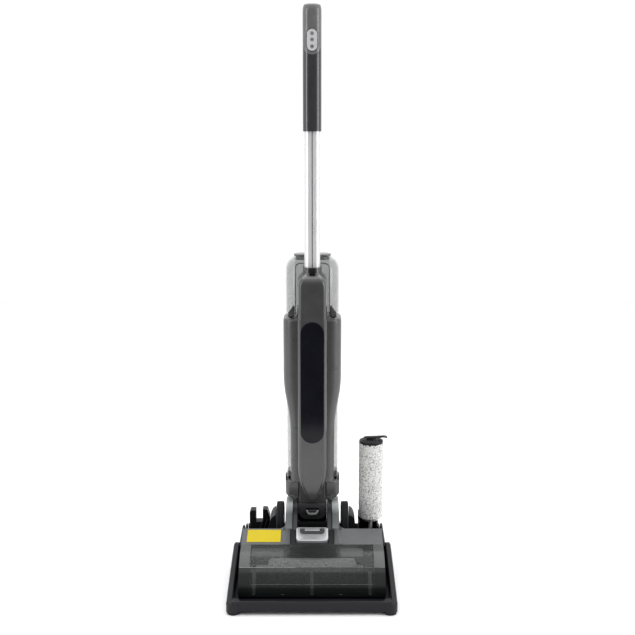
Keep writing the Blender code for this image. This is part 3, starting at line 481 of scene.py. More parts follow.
def build_handle():
    shell, cap = Box("handle_shell"), Box("handle_cap")
    full = Box("handle_shell")
    full.y0 = min(shell.y0, cap.y0)
    levels = handle_levels(full)
    seam, low, high = cap.y1, cap.z0, shell.z1 + 0.05
    radius = shell.hx + 0.0003
    body = column("handle_shell_fine", eased(levels, 5), "dark_grip", 16)
    cut(body, slab("front", cap_outline(radius, low - GAP, high), "Y", 0.0, seam + GAP))
    tube = Box("pole")
    ends = (shell.z0 - 0.01, tube.z1 + GAP)
    bore = [(z, tube.hx + GAP, tube.y0 - GAP, tube.y1 + GAP, POLE_CORNER) for z in ends]
    cut(body, column("bore", bore))
    stand_in(body, "handle_shell")
    front = column("handle_cap_fine", eased(levels, 5), "light_plastic", 16)
    boolean(front, "INTERSECT", slab("front", cap_outline(radius - GAP, low, high), "Y", 0.0, seam))
    plate = Box("control_plate")
    pocket = stadium(plate.hx + GAP, plate.z0 - GAP, plate.z1 + GAP)
    cut(front, slab("pocket", pocket, "Y", 0.0, plate.y1 + 0.0014))
    stand_in(front, "handle_cap")
    rim = plate_rim(plate)
    extra(rim, "control_plate")
    build_plate(plate)


def plate_rim(plate):
    """Dark gasket round the control plate."""
    rings = []
    for grow, y in ((0.0, plate.y1), (0.0011, plate.y1), (0.0013, plate.y0 + 0.0009),
                    (0.0007, plate.y0 + 0.0004), (0.0001, plate.y0 + 0.0008)):
        outline = stadium(plate.hx + TINY + grow, plate.z0 - grow, plate.z1 + grow)
        rings.append([(x, y, z) for x, z in outline])
    return closed_loft("control_plate_gasket", rings, "black_plastic")


def build_plate(plate):
    obj = slab("control_plate_fine", stadium(plate.hx, plate.z0, plate.z1), "Y", plate.y0, plate.y1,
               "plate_silver")
    for name in ("power_button", "mode_button", "self_clean_button"):
        b = Box(name)
        cut(obj, rod("hole", b.hx + GAP, (0, b.cz), "Y", 0.0, 0.2))
    stand_in(soften(obj, 0.0005, 3), "control_plate")
    for index, name in enumerate(("power_button", "mode_button", "self_clean_button")):
        b = Box(name)
        r = b.hx
        profile = [(0, b.y0 + 0.0003), (r * 0.52, b.y0 + 0.0002), (r * 0.58, b.y0 + 0.0005),
                   (r * 0.66, b.y0 + 0.0005), (r * 0.72, b.y0 + 0.0001), (r * 0.86, b.y0 + 0.0001),
                   (r, b.y0 + 0.0006), (r, b.y1), (0, b.y1)]
        stand_in(turned(f"{name}_fine", profile, (0, b.cz), "Y", "silver_plastic", 40), name)
        mark = button_mark(index, b)
        extra(mark, name)


def button_mark(index, b):
    """A plain raised sign on each button: a dot, a triangle or a ring."""
    y0, y1 = b.y0 + 0.00005, b.y0 + 0.00045
    if index == 0:
        return rod("power_mark", 0.0008, (0, b.cz), "Y", y0, y1, "charcoal", 24)
    if index == 1:
        outline = [(-0.0012, b.cz - 0.0004), (0.0012, b.cz - 0.0004), (0.0, b.cz + 0.0011)]
        return slab("mode_mark", outline, "Y", y0, y1, "charcoal")
    ring = [(0.0007, y0), (0.0012, y0), (0.0012, y1), (0.0007, y1)]
    return turned("self_clean_mark", ring, (0, b.cz), "Y", "charcoal", 24)


def build_pole():
    b = Box("pole")
    radius, wall = POLE_CORNER, 0.0018
    outline = rounded(b.hx, b.y0, b.y1, radius, radius, 14)
    inner = rounded(b.hx - wall, b.y0 + wall, b.y1 - wall, radius - wall, radius - wall, 14)
    tube = slab("pole_fine", outline, "Z", b.z0, b.z1, "polished_tube", 40)
    groove = band("groove", 0.0008, (b.y0 - 0.01, b.y0 + 0.0012), (b.z0 - 0.01, b.z1 + 0.01))
    cut(tube, slab("inside", inner, "Z", b.z0 - 0.01, b.z1 + 0.01), groove)
    stand_in(tube, "pole")
    # Painted shadow: a dark strip laid in the groove down the pole's front.
    groove_shadow = band("pole_groove_shadow", 0.0008, (b.y0 + 0.0004, b.y0 + 0.001), (b.z0 + 0.002, b.z1 - 0.002),
                 "charcoal")
    extra(groove_shadow, "pole")
    handle = Box("handle_shell")
    collar = [
        (handle.z0 - 0.0002, b.hx + 0.0012, b.y0 - 0.0012, b.y1 + 0.0012, 0.0118),
        (handle.z0 - 0.003, b.hx + 0.0006, b.y0 - 0.0006, b.y1 + 0.0006, 0.0115),
    ]
    ring_outer = column("pole_collar", list(reversed(collar)), "charcoal", 14)
    grown = [(x * 1.004, b.cy + (y - b.cy) * 1.004) for x,
             y in rounded(b.hx, b.y0, b.y1, radius, radius, 14)]
    cut(ring_outer, slab("inside", grown, "Z", handle.z0 - 0.01, handle.z0 + 0.01))
    extra(ring_outer, "pole")


# ================================================================ spine, display and pole socket
def spine_outline(half_width, front, back, corner, steps=12):
    """Flat front with deep soft corners, square at the back."""
    deep = min(corner * 1.9, (back - front) * 0.8)
    right = [(half_width, back)] + arc((half_width - corner, front + deep), corner, 0, 90, steps, -deep)
    return right + [(-x, y) for x, y in reversed(right)]


def spine_column(name, levels, material):
    rings = []
    for z, half_width, front, back, corner in levels:
        rings.append([(x, y, z) for x, y in spine_outline(half_width, front, back, corner)])
    return loft(name, rings, material)


def spine_levels(b, thin):
    front, foot = b.y0, b.z0
    widths = (
        (0.0, 0.0026, 0.006), (0.0012, 0.0052, 0.0046), (0.0033, 0.0074, 0.003), (0.0075, 0.0112, 0.0018),
        (0.0138, 0.0149, 0.001), (0.0202, 0.0179, 0.0005), (0.0286, 0.021, 0.0002), (0.0392, 0.0247, 0.0),
        (0.0505, 0.0275, 0.0), (0.065, 0.0291, 0.0), (0.08, b.hx, 0.0), (0.1, b.hx, 0.0),
    )
    return [(foot + up, half, front + back, thin, min(0.0088, half * 0.6)) for up, half, back in widths]


def build_spine():
    b, lens, lobe = Box("spine_shell"), Box("display_lens"), Box("rear_cradle")
    thin, split = lobe.y0 - 0.0005, lobe.z1 + 0.0004
    wide, front, top, deep = b.hx, b.y0, b.z1, b.y1
    foot = eased(spine_levels(b, thin), 4)
    shell = spine_column("spine_front", foot + [(split, wide, front, thin, 0.0088)], "spine_plastic")
    crown = [(split, wide, front, deep, 0.0088), (split + 0.04, wide, front, deep, 0.0089)] + inset(b, [], [
        (-38, 0, 0, 0, 9.1), (-30, 0.4, 0.4, 0, 9.8), (-23, 2.2, 2.8, 0, 10.6), (-17.5, 5.5, 7, 0.6, 11.8),
        (-14, 8.8, 12.6, 1.4, 12.5), (-12, 10.4, 16.6, 2.2, 12.8), (-10, 10.7, 17.8, 3, 12.8),
        (-1.2, 10.9, 18.1, 4.6, 12.8), (0, 11.7, 19, 5.6, 12.2),
    ])
    head = spine_column("spine_crown", eased(crown, 4), "spine_plastic")
    recess = stadium(lens.hx + GAP, lens.z0 - GAP, lens.z1 + GAP, 32)
    cut(shell, slab("recess", recess, "Y", 0.0, lens.y1 + GAP))
    cut(shell, band("hollow", 0.0262, (front + 0.0048, 0.2), (b.z0 + 0.08, lobe.z1 - 0.006)))
    tube = Box("pole")
    socket = [(z, tube.hx + GAP, tube.y0 - GAP, tube.y1 + GAP, POLE_CORNER) for z in (tube.z0 - GAP,
                                                                                      top + 0.01)]
    button = Box("pole_button")
    cut(
        head, column("socket", socket),
        band("button", button.hx + GAP, (0.0, button.y1 + 0.0014), (button.z0 - GAP, button.z1 + GAP)),
    )
    stand_in(shell, "spine_shell")
    extra(head, "spine_shell")
    glass = slab("display_lens_fine", stadium(lens.hx, lens.z0, lens.z1, 32), "Y", lens.y0, lens.y1,
                 "black_gloss")
    stand_in(soften(glass, 0.0008, 4), "display_lens")
    knob = band("pole_button_fine", button.hx, (button.y0, button.y1), (button.z0, button.z1),
                 "black_plastic")
    for k in range(3):
        z = button.z0 + button.hz * (0.5 + 0.5 * k)
        cut(knob, band("rib", button.hx * 0.7, (button.y0 - 0.001, button.y0 + 0.0005),
                       (z - 0.0005, z + 0.0005)))
    stand_in(soften(knob, 0.0006, 2), "pole_button")


# ================================================================ rear cradle, collar and socket
def build_cradle():
    b, socket, tank = Box("rear_cradle"), Box("swivel_socket"), Box("dirty_tank")
    front, back, wide = b.y0, b.y1, b.hx
    neck_back = tank.y0 - 0.001
    step = tank.z1 + 0.0074
    ring = [
        (b.z0 + up * MM, half * MM, front + draw * MM, neck_back, radius * MM, 0.004)
        for up, half, draw, radius in (
            (0, 54.4, 1.8, 13.5), (1, 54.9, 1.5, 14), (24, 55, 1.5, 14), (27.6, 54.6, 1.6, 14),
            (28.3, 53.4, 2.2, 14), (28.6, 44.6, 0, 14),
        )
    ]
    waist = eased([
        (z, half * MM, front, neck_back, radius * MM, 0.004)
        for z, half, radius in (
            (b.z0 + 0.0288, 44.4, 14), (0.21, 44.5, 14), (0.268, 44.8, 14), (0.295, 46.8, 15),
            (0.327, 52.2, 18), (step - 0.0006, 55.3, 20),
        )
    ], 6)
    upper = eased([
        (step, 0.0554, front, back - 0.0012, 0.02, 0.03), (0.37, wide - 0.0002, front, back, 0.022, 0.032),
        (0.42, wide, front, back, 0.022, 0.032),
    ] + inset(b, [], [
        (-11, 0, 0, 0, 22, 32), (-4, 0.8, 0.8, 0.8, 21.5, 31.5), (-1.2, 2.2, 2.2, 2.2, 20.8, 30.5),
        (0, 4.2, 4, 4.2, 19.2, 29.2),
    ]), 5)
    obj = column("rear_cradle_fine", ring + waist + upper, "grey_plastic", 12)
    battery, board, motor = Box("battery_pack"), Box("main_board"), Box("suction_motor")
    cut(
        obj,
        band("foot_gap", socket.hx + 0.0006, (0.0, 0.2), (b.z0 - 0.01, socket.z1 + 0.0004)),
        band("battery_bay", 0.0268, (0.0, battery.y1 + 0.0007), (battery.z0 - 0.002, battery.z1 + 0.002)),
        band("board_bay", 0.0268, (0.0, board.y1 + 0.0032), (board.z0 - 0.004, board.z1 + 0.004)),
        rod("motor_bay", motor.hx + 0.002, (0, motor.cy), "Z", step - 0.02, motor.z1 + 0.003),
    )
    for k in range(9):
        z = 0.4 + k * 0.007
        cut(obj, band("vent", 0.018, (back - 0.002, back + 0.01), (z, z + 0.003)))
    stand_in(obj, "rear_cradle")
    for side, name in ((-1, "left"), (1, "right")):
        build_hook(b, side, name)


def build_hook(b, side, name):
    """Side horn of the foot ring, curved to a tip, with a painted shadow block where the slot behind it
    lies in shade.
    """
    outer, base = b.x1 - 0.003, b.z0 + 0.02
    tip = b.z0 + 0.0415
    outline = [(outer - 0.0085, base)]
    rise = tip - base - 0.005
    outline += arc((outer - 0.0085, base + 0.0045 + rise), 0.0075, -90, 0, 8, rise)
    outline += [(outer - 0.0004, tip), (outer, tip - 0.0016), (outer, base)]
    obj = slab(f"cradle_horn_{name}", [(side * x, z) for x, z in outline], "Y", b.y0 + 0.015, b.y0 + 0.033,
               "grey_plastic")
    extra(soften(obj, 0.0005, 3), "rear_cradle")
    x = sorted((side * (outer - 0.005), side * (outer - 0.0115)))
    # Painted shadow: a near-black block where the slot behind the horn lies in shade.
    dark = block(f"horn_slot_shadow_{name}", (x[0], b.y0 + 0.02, base + 0.0086),
                 (x[1], b.y0 + 0.03, base + 0.0112), "shadow")
    extra(soften(dark, 0.0006, 2), "rear_cradle")


def build_collar():
    b, socket = Box("base_collar"), Box("swivel_socket")
    low, top = b.z0, b.z1
    levels = eased(inset(b, [
        (0, 12.5, 7, 13.5, 20.5), (0.8, 8.8, 4.6, 10, 22.8), (2.2, 5.2, 2.8, 6.6, 25.2),
        (5, 1.8, 0.9, 2.6, 27.6), (8.5, 0.2, 0.1, 0.4, 28.8),
    ], [(0, 0, 0, 0, 29)]), 4)
    obj = column("base_collar_fine", levels, "grey_plastic", 12)
    cut(obj, band("notch", socket.hx + 0.0006, (0.0, socket.y1 + 0.0008), (low - 0.01, top + 0.01)))
    stand_in(obj, "base_collar")


def build_socket():
    b = Box("swivel_socket")
    obj = column("swivel_socket_fine", eased(inset(b, [
        (0, 1.4, 1.4, 1, 5.6), (1.2, 0.3, 0.3, 0, 6), (3, 0, 0, 0, 6),
    ], [(0, 0, 0, 0, 6)]), 3), "neck_plastic", 10)
    cut(obj, rod("bore", 0.0123, (0, SPIGOT_Y), "Z", b.z0 - 0.01, b.z0 + 0.0247))
    stand_in(obj, "swivel_socket")


def build_latches():
    """Thumb catches: a domed key over a crescent of painted shadow, one each side of the spine."""
    for name, side in (("tank_latch_left", -1), ("tank_latch_right", 1)):
        b = Box(name)
        inner, outer = b.cx - side * b.hx, b.cx + side * b.hx
        width = b.x1 - b.x0

        def shape(grow, low, top):
            radius = width / 2 - 0.0004 + grow
            middle = (inner + outer) / 2
            line = [(inner + side * 0.0004 - side * grow, top), (inner + side * 0.0034, top)]
            line.append((middle + side * radius, low + radius * 1.9))
            return line + arc((middle, low + radius), side * radius, 0, 180, 14, -radius)
        key = slab(f"{name}_fine", shape(-0.0012, b.z0 + 0.0034, b.z1), "Y", b.y0, b.y1 - 0.001,
                   "grey_plastic")
        stand_in(soften(key, 0.0016, 4), name)
        # Painted shadow: a near-black crescent under the key, where the recess lies in shade.
        shade = slab(f"{name}_crescent", shape(0.0, b.z0 + 0.0002, b.z1 - 0.002), "Y", b.y0 + 0.0022, b.y1,
                     "shadow")
        extra(soften(shade, 0.0005, 2), name)


# ================================================================ tanks
def build_clean_tank():
    b, lid = Box("clean_tank"), Box("clean_tank_lid")
    low, top, wall = b.z0, b.z1, 0.0022
    foot = [(0, 4.6, 30), (1.6, 2.2, 31.8), (5, 0.6, 33.4), (13, 0, 34)]
    crown = [(-30, 0, 34), (-16, 1.8, 33), (-8.5, 5.2, 31.6), (-4, 9.6, 29.2), (0, 14.6, 25)]
    ends = [[(up, draw, draw, draw, radius) for up, draw, radius in rows] for rows in (foot, crown)]
    levels = eased(inset(b, *ends), 4)
    tank = column("clean_tank_fine", levels, "clear_plastic", 14)
    middle, squeeze = (low + top) / 2, 1 - 2 * wall / (top - low)
    inner = [
        (middle + (z - middle) * squeeze, h - wall, y0 + wall, y1 - wall, r - wall * 0.6)
        for z, h, y0, y1, r in levels
    ]
    notch, notch_back = 0.035, 0.1275

    def saddle(name, grow):
        outline = rounded(notch + grow, 0.0, notch_back + grow, 0.005, 0.012, 12)
        return slab(name, outline, "Z", low - 0.05, top + 0.05)
    space = column("space", inner, None, 14)
    cut(space, saddle("keep", wall))
    cut(tank, saddle("notch", 0.0), space)
    mouth = [(z, lid.hx - 0.003, lid.y0 + 0.0025, lid.y1 - 0.0025, 0.014) for z in (top - 0.02, top + 0.02)]
    cut(tank, column("mouth", mouth))
    stand_in(tank, "clean_tank")
    cover = column("clean_tank_lid_fine", eased([
        (lid.z0, lid.hx - 0.0036, lid.y0 + 0.0031, lid.y1 - 0.0031, 0.0135),
        (top - 0.0002, lid.hx - 0.0036, lid.y0 + 0.0031, lid.y1 - 0.0031, 0.0135),
    ], 1) + eased([
        (top + 0.0003, lid.hx - 0.0006, lid.y0 + 0.0006, lid.y1 - 0.0006, 0.0158),
        (top + 0.001, lid.hx, lid.y0, lid.y1, 0.016),
        (lid.z1 - 0.0014, lid.hx, lid.y0, lid.y1, 0.016),
        (lid.z1 - 0.0004, lid.hx - 0.001, lid.y0 + 0.001, lid.y1 - 0.001, 0.0152),
        (lid.z1, lid.hx - 0.0026, lid.y0 + 0.0026, lid.y1 - 0.0026, 0.0138),
    ], 3), "light_plastic", 14)
    stand_in(cover, "clean_tank_lid")
    arch(b, notch, notch_back)


def arch(b, notch, notch_back):
    """Painted shade: a dark line that runs up and over the recess in front of the clean tank, along the
    edge of the clear recess walls.
    """
    half, top, low = notch - 0.0004, b.z1 - 0.012, b.z0 + 0.0006
    radius, thick, soft = 0.011, 0.0013, 8
    line = [(-half, low)]
    line += arc((-half + radius, top - radius), radius, 180, 90, soft)
    line += arc((half - radius, top - radius), radius, 90, 0, soft)
    line.append((half, low))
    inner = offset_line(line, thick)
    outline = line + list(reversed(inner))
    obj = slab("clean_tank_arch_shade", outline, "Y", notch_back - 0.004, notch_back - 0.0005, "charcoal")
    extra(obj, "clean_tank")


def build_dirty_tank():
    b, lid, shoe = Box("dirty_tank"), Box("dirty_tank_lid"), Box("tank_base")
    low, top, front, back, wide = b.z0, b.z1, b.y0, b.y1, b.hx
    wall, ledge = 0.0021, (shoe.z1 + 0.008 - low) / MM
    outer = eased(inset(b, [
        (0, 4.4, 1.4, 4, 4, 29.6), (1, 2.6, 0.4, 2.1, 4, 30.6), (3.5, 2, 0, 1.5, 4, 31),
        (ledge, 2, 0, 1.5, 4, 31), (ledge + 1.6, 0.8, 0, 0.5, 4, 31.6), (ledge + 3.6, 0, 0, 0, 4, 32),
    ], [(0, 0, 0, 0, 4, 32)]), 3)
    inner = [
        (max(z, low + 0.0028), half - wall, y0 + wall, y1 - wall, rf - 0.0014, r - wall)
        for z, half, y0, y1, rf, r in reversed(outer[6:])
    ]
    stand_in(column("dirty_tank_fine", outer + inner, "tank_plastic", 12), "dirty_tank")
    plug = lid.hx - 0.003
    cover = column("dirty_tank_lid_fine", [
        (lid.z0, plug, lid.y0 + 0.003, lid.y1 - 0.003, 0.004, 0.029),
        (top + 0.0002, plug, lid.y0 + 0.003, lid.y1 - 0.003, 0.004, 0.029),
        (top + 0.0003, lid.hx, lid.y0, lid.y1, 0.004, 0.032),
        (lid.z1, lid.hx, lid.y0, lid.y1, 0.004, 0.032),
    ], "grey_plastic", 12)
    cut(cover, rod("intake", 0.016, (0, 0.143), "Z", lid.z0 - 0.01, lid.z1 + 0.01))
    stand_in(soften(cover, 0.0006, 2), "dirty_tank_lid")
    outline_out = [(z, shoe.hx, shoe.y0, shoe.y1, 0.004, 0.033) for z in (shoe.z0, shoe.z1)]
    base = column("tank_base_fine", outline_out, "grey_plastic", 12)
    depth = (shoe.z0 + 0.0018, shoe.z1 + 0.01)
    pocket = [(z, wide - 0.0017, front - 0.02, back - 0.0011, 0.004, 0.0312) for z in depth]
    cut(base, column("pocket", pocket, None, 12))
    stand_in(soften(base, 0.0008, 3), "tank_base")
    grip = slab("tank_grip", stadium(0.0085, 0.215, 0.275, 20), "Y", back - 0.0006, back + 0.0007,
                "charcoal")
    extra(soften(grip, 0.0005, 2), "dirty_tank")


# ================================================================ neck, arms and wheels
def build_neck():
    b, latch, axle = Box("neck_block"), Box("neck_latch"), Box("wheel_axle")
    top, half, front, back = ARM_TOP, 0.029, 0.07, 0.132
    neck = rod("neck_block_fine", 0.028, (axle.cy, axle.cz), "X", b.x0, b.x1, "charcoal", 72)
    stem = column("stem", eased([
        (axle.cz - 0.002, half, front + 0.009, back - 0.004, 0.006),
        (0.078, half, front + 0.006, back - 0.001, 0.007),
        (0.092, half, front + 0.0034, back, 0.008), (top - 0.003, half, front + 0.003, back, 0.0098),
        (top - 0.0009, half - 0.0006, front + 0.0034, back - 0.0006, 0.0096),
        (top, half - 0.0016, front + 0.004, back - 0.0016, 0.009),
    ], 4), None, 10)
    join(neck, stem, rod("spigot", 0.012, (0, SPIGOT_Y), "Z", top - 0.006, b.z1, None, 48))
    drop = 0.002
    pocket = band("pocket", latch.hx + 0.0005, (0.0, latch.y1 + 0.0023),
                  (latch.z0 - drop - 0.0008, latch.z1 + 0.0008))
    cut(neck, rod("bore", AXLE_BORE, (axle.cy, axle.cz), "X", b.x0 - 0.01, b.x1 + 0.01), pocket)
    stand_in(neck, "neck_block")
    chin = [(-half + 0.0003, top - 0.0006), (-half + 0.0003, 0.101)]
    low, soft = 0.0826, 0.017
    chin += arc((-half + 0.0003 + soft, low + 0.0184), soft, 180, 270, 12, 0.0184)
    outline = chin + [(-x, z) for x, z in reversed(chin)]
    face = slab("neck_chin", outline, "Y", front, front + 0.0036, "neck_plastic")
    cut(face, band("pocket", latch.hx + 0.0005, (0.0, 0.2), (latch.z0 - drop - 0.0008, latch.z1 + 0.0008)))
    extra(soften(face, 0.0011, 3), "neck_block")
    outline = []
    for a, c in ((-1.0, 0.8), (-0.99, 0.25), (-0.9, -0.25), (-0.72, -0.72), (-0.45, -0.95), (0.45, -0.95),
                 (0.72, -0.72), (0.9, -0.25), (0.99, 0.25), (1.0, 0.8), (0.7, 0.8), (0.66, 0.25),
                 (0.5, -0.12), (-0.5, -0.12), (-0.66, 0.25), (-0.7, 0.8)):
        outline.append((latch.cx + latch.hx * a, latch.cz - drop + latch.hz * c))
    silver = slab("neck_latch_fine", outline, "Y", latch.y0, latch.y1, "silver_plastic")
    stand_in(soften(silver, 0.0009, 3), "neck_latch")
    pad = band("neck_latch_pad", latch.hx * 0.62, (latch.y0 + 0.0014, latch.y1 - 0.0004),
               (latch.z0 + 0.0036, latch.z1 - drop - 0.0006), "neck_plastic")
    extra(soften(pad, 0.0008, 2), "neck_latch")


def arm_line(b, axle, lift):
    """Top edge of a yoke arm: a ramp up from the panel and a round end over the axle."""
    rise = 0.0555 - lift
    line = smooth_line([
        (b.y0, 0.087 - lift), (0.02, 0.095 - lift), (0.045, 0.1073 - lift), (0.07, 0.1148 - lift),
        (0.088, ARM_TOP - lift),
    ], 6)
    return line + arc((axle.cy, axle.cz), rise, 95, 11, 19)


def build_arms():
    axle = Box("wheel_axle")
    for name, side in (("yoke_arm_left", -1), ("yoke_arm_right", 1)):
        b = Box(name)
        foot = [(b.y1 - 0.001, 0.033), (b.y1 - 0.001, b.z0)]
        inner, outer, split = side * ARM_INNER, side * ARM_OUTER, side * ARM_SPLIT
        arm = slab(f"{name}_fine", [(b.y0, b.z0)] + arm_line(b, axle, 0.0) + foot, "X",
                   *sorted((split, outer)), "arm_plastic")
        cut(arm, rod("bore", AXLE_BORE, (axle.cy, axle.cz), "X", -0.2, 0.2))
        stand_in(soften(arm, 0.0022, 4), name)
        web = slab(f"{name}_web", [(b.y0, b.z0)] + arm_line(b, axle, 0.0042) + foot, "X",
                   *sorted((inner, split - side * TINY)), "web_plastic")
        cut(web, rod("bore", AXLE_BORE, (axle.cy, axle.cz), "X", -0.2, 0.2))
        extra(soften(web, 0.0012, 3), name)
        panel_ridge(name, side)


def panel_ridge(name, side):
    """Raised rib that carries the arm's line down the panel to the cover, with a soft outer fillet."""
    b, panel = Box(name), Box("top_panel")
    front_z = Box("brush_cover").z1
    inner, outer = side * (Box("button_bezel").x1 + 0.0006), side * (b.x1 if side > 0 else -b.x0)
    rings = []
    for share, reach in ((0.0, 0.005), (0.5, 0.0022), (1.0, 0.0006)):
        y = panel.y0 + 0.0006 + (0.0 - panel.y0) * share
        z = front_z + (panel.z1 - front_z) * share - 0.0006
        far = outer + side * reach
        rings.append([(inner, y, z - 0.001), (far + side * 0.0016, y, z - 0.001),
                      (far + side * 0.0012, y, z + 0.0009),
                      (far - side * 0.0006, y, z + 0.0018), (inner + side * 0.0012, y, z + 0.0018),
                      (inner, y, z + 0.0008)])
    ridge = loft(f"{name}_panel_ridge", rings, "panel_plastic", 60)
    extra(soften(ridge, 0.0005, 2, 25), name)
    corner, radius = (outer, panel.z1 - 0.0006), 0.0085
    outline = [corner, (corner[0] + side * radius, corner[1])]
    outline += arc((corner[0] + side * radius, corner[1] + radius), side * radius, 270, 180, 8, radius)
    fillet = slab(f"{name}_fillet", outline, "Y", 0.0004, panel.y1 - 0.0004, "panel_plastic", 60)
    extra(fillet, name)


def build_wheels():
    axle = Box("wheel_axle")
    centre = (axle.cy, axle.cz)
    for name in ("wheel_left", "wheel_right"):
        tyre, hub = Box(f"{name}_tyre"), Box(f"{name}_hub")
        s = 1 if tyre.cx > 0 else -1
        inner, outer = tyre.cx - s * tyre.hx, tyre.cx + s * tyre.hx
        r, rim = tyre.hz, hub.hz + GAP
        profile = [(rim, inner), (r - 0.003, inner), (r - 0.0008, inner + s * 0.001),
                   (r, inner + s * 0.0026)]
        width = abs(outer - inner)
        grooves = 3
        for k in range(grooves):
            at = inner + s * (0.0026 + (width - 0.0052) * (k + 0.5) / grooves)
            profile += [(r, at - s * 0.001), (r - 0.0009, at - s * 0.0006), (r - 0.0009, at + s * 0.0006),
                        (r, at + s * 0.001)]
        profile += [(r, outer - s * 0.0026), (r - 0.0008, outer - s * 0.001), (r - 0.003, outer),
                    (rim, outer)]
        obj = turned(f"{name}_tyre_fine", profile, centre, "X", "rubber", 96)
        stand_in(obj, f"{name}_tyre")
        h_in, h_out, hr = hub.cx - s * hub.hx, hub.cx + s * hub.hx, hub.hz
        face = [
            (0, h_out), (0.0055, h_out), (0.0065, h_out - s * 0.0008), (0.0085, h_out - s * 0.0035),
            (hr - 0.007, h_out - s * 0.0035),
            (hr - 0.005, h_out - s * 0.0008), (hr - 0.0042, h_out), (hr - 0.0006, h_out),
            (hr, h_out - s * 0.0006),
            (hr, h_in), (AXLE_BORE, h_in), (AXLE_BORE, s * 0.0709), (0, s * 0.0709),
        ]
        disc = turned(f"{name}_hub_fine", face, centre, "X", "black_plastic", 96)
        for k in range(5):
            a = 2 * pi * k / 5
            spot = (centre[0] + 0.0165 * cos(a), centre[1] + 0.0165 * sin(a))
            x = sorted((h_out - s * 0.006, h_out + s * 0.01))
            cut(disc, rod("hole", 0.0052, spot, "X", *x, None, 28))
        stand_in(disc, f"{name}_hub")


# ================================================================ head
def cover_lines(b):
    """The clear cover's side outline: a lighter rear part and a darker front part, meeting at a crease."""
    top, low, rear, nose = b.z1, b.z0, b.y1, b.y0
    crease = (rear - 0.0601, top - 0.0199)
    upper = smooth_line([
        (rear, top), (rear - 0.0266, top - 0.0049), (rear - 0.0466, top - 0.0121), crease,
    ], 6)
    lower = smooth_line([
        crease, (rear - 0.0711, top - 0.0289), (rear - 0.0796, top - 0.0379),
        (nose + 0.004, low + 0.0155), (nose + 0.001, low + 0.0065), (nose, low),
    ], 6)
    return upper, lower


def cover_strip(line, wall):
    return line + list(reversed(offset_line(line, -wall)))


def build_cover():
    b = Box("brush_cover")
    upper, lower = cover_lines(b)
    wall, window = 0.0022, 0.1165
    rear = slab("brush_cover_fine", cover_strip(upper, wall), "X", -window, window, "smoky_upper", 50)
    stand_in(rear, "brush_cover")
    front = slab("brush_cover_front", cover_strip(lower, wall), "X", -window, window, "smoky_clear", 50)
    extra(front, "brush_cover")
    for side, name in ((-1, "left"), (1, "right")):
        for line, part, finish in ((upper, "upper", "cheek_plastic"), (lower, "lower", "smoky_edge")):
            x = sorted((side * window, side * b.x1))
            cheek = slab(f"cover_end_{part}_{name}", cover_strip(line, wall), "X", *x, finish, 50)
            floor = [(line[-1][0], b.z0), (line[0][0], b.z0)]
            x = sorted((side * (b.x1 - 0.0023), side * b.x1))
            join(cheek, slab("wall", line + (floor if part == "upper" else floor[1:]), "X", *x))
            extra(soften(cheek, 0.0004, 2), "brush_cover")
    # Painted highlight: the left part of the upper crease is bright, the rest and the lower crease fainter.
    crease(upper[-2], upper[-1], "upper", -b.x1 + 0.0004, -0.03, "crease")
    crease(upper[-2], upper[-1], "upper_right", -0.0299, b.x1 - 0.0004, "faint_crease_highlight")
    seat = len(lower) // 2
    crease(lower[seat - 1], lower[seat], "lower", -0.113, 0.113, "faint_crease_highlight")
    foot = slab("brush_cover_foot", [
        (b.y0 + 0.0002, b.z0), (b.y0 + 0.0046, b.z0), (b.y0 + 0.0052, b.z0 + 0.003),
        (b.y0 + 0.0008, b.z0 + 0.003),
    ], "X", -window + 0.0002, window - 0.0002, "smoky_edge")
    extra(foot, "brush_cover")
    for k in range(5):
        x = (k - 2) * window * 0.46
        tab = block(f"brush_cover_tab_{k + 1}", (x - 0.0026, b.y0 + 0.0001, b.z0 + 0.003),
                    (x + 0.0026, b.y0 + 0.003, b.z0 + 0.0046), "smoky_rib")
        extra(soften(tab, 0.0005, 2), "brush_cover")
        if k % 2 == 0:
            path = lower[3:-4]
            rib_line = offset_line(path, 0.0002) + list(reversed(offset_line(path, -0.0004)))
            rib = slab(f"brush_cover_rib_{k + 1}", rib_line, "X", x - 0.0032, x + 0.0032, "smoky_rib", 50)
            extra(rib, "brush_cover")


def crease(start, end, name, low, high, finish):
    """Thin moulded step across the cover, coloured pale as a painted highlight line."""
    start, end = Vector(start), Vector(end)
    along = (end - start).normalized()
    out = Vector((along.y, -along.x))
    points = [end - along * 0.0007 - out * 0.0003, end - along * 0.0003 + out * 0.00035,
              end + along * 0.0002 + out * 0.00035, end + along * 0.0007 - out * 0.0003]
    obj = slab(f"brush_cover_crease_{name}", [tuple(p) for p in points], "X", low, high, finish)
    extra(obj, "brush_cover")


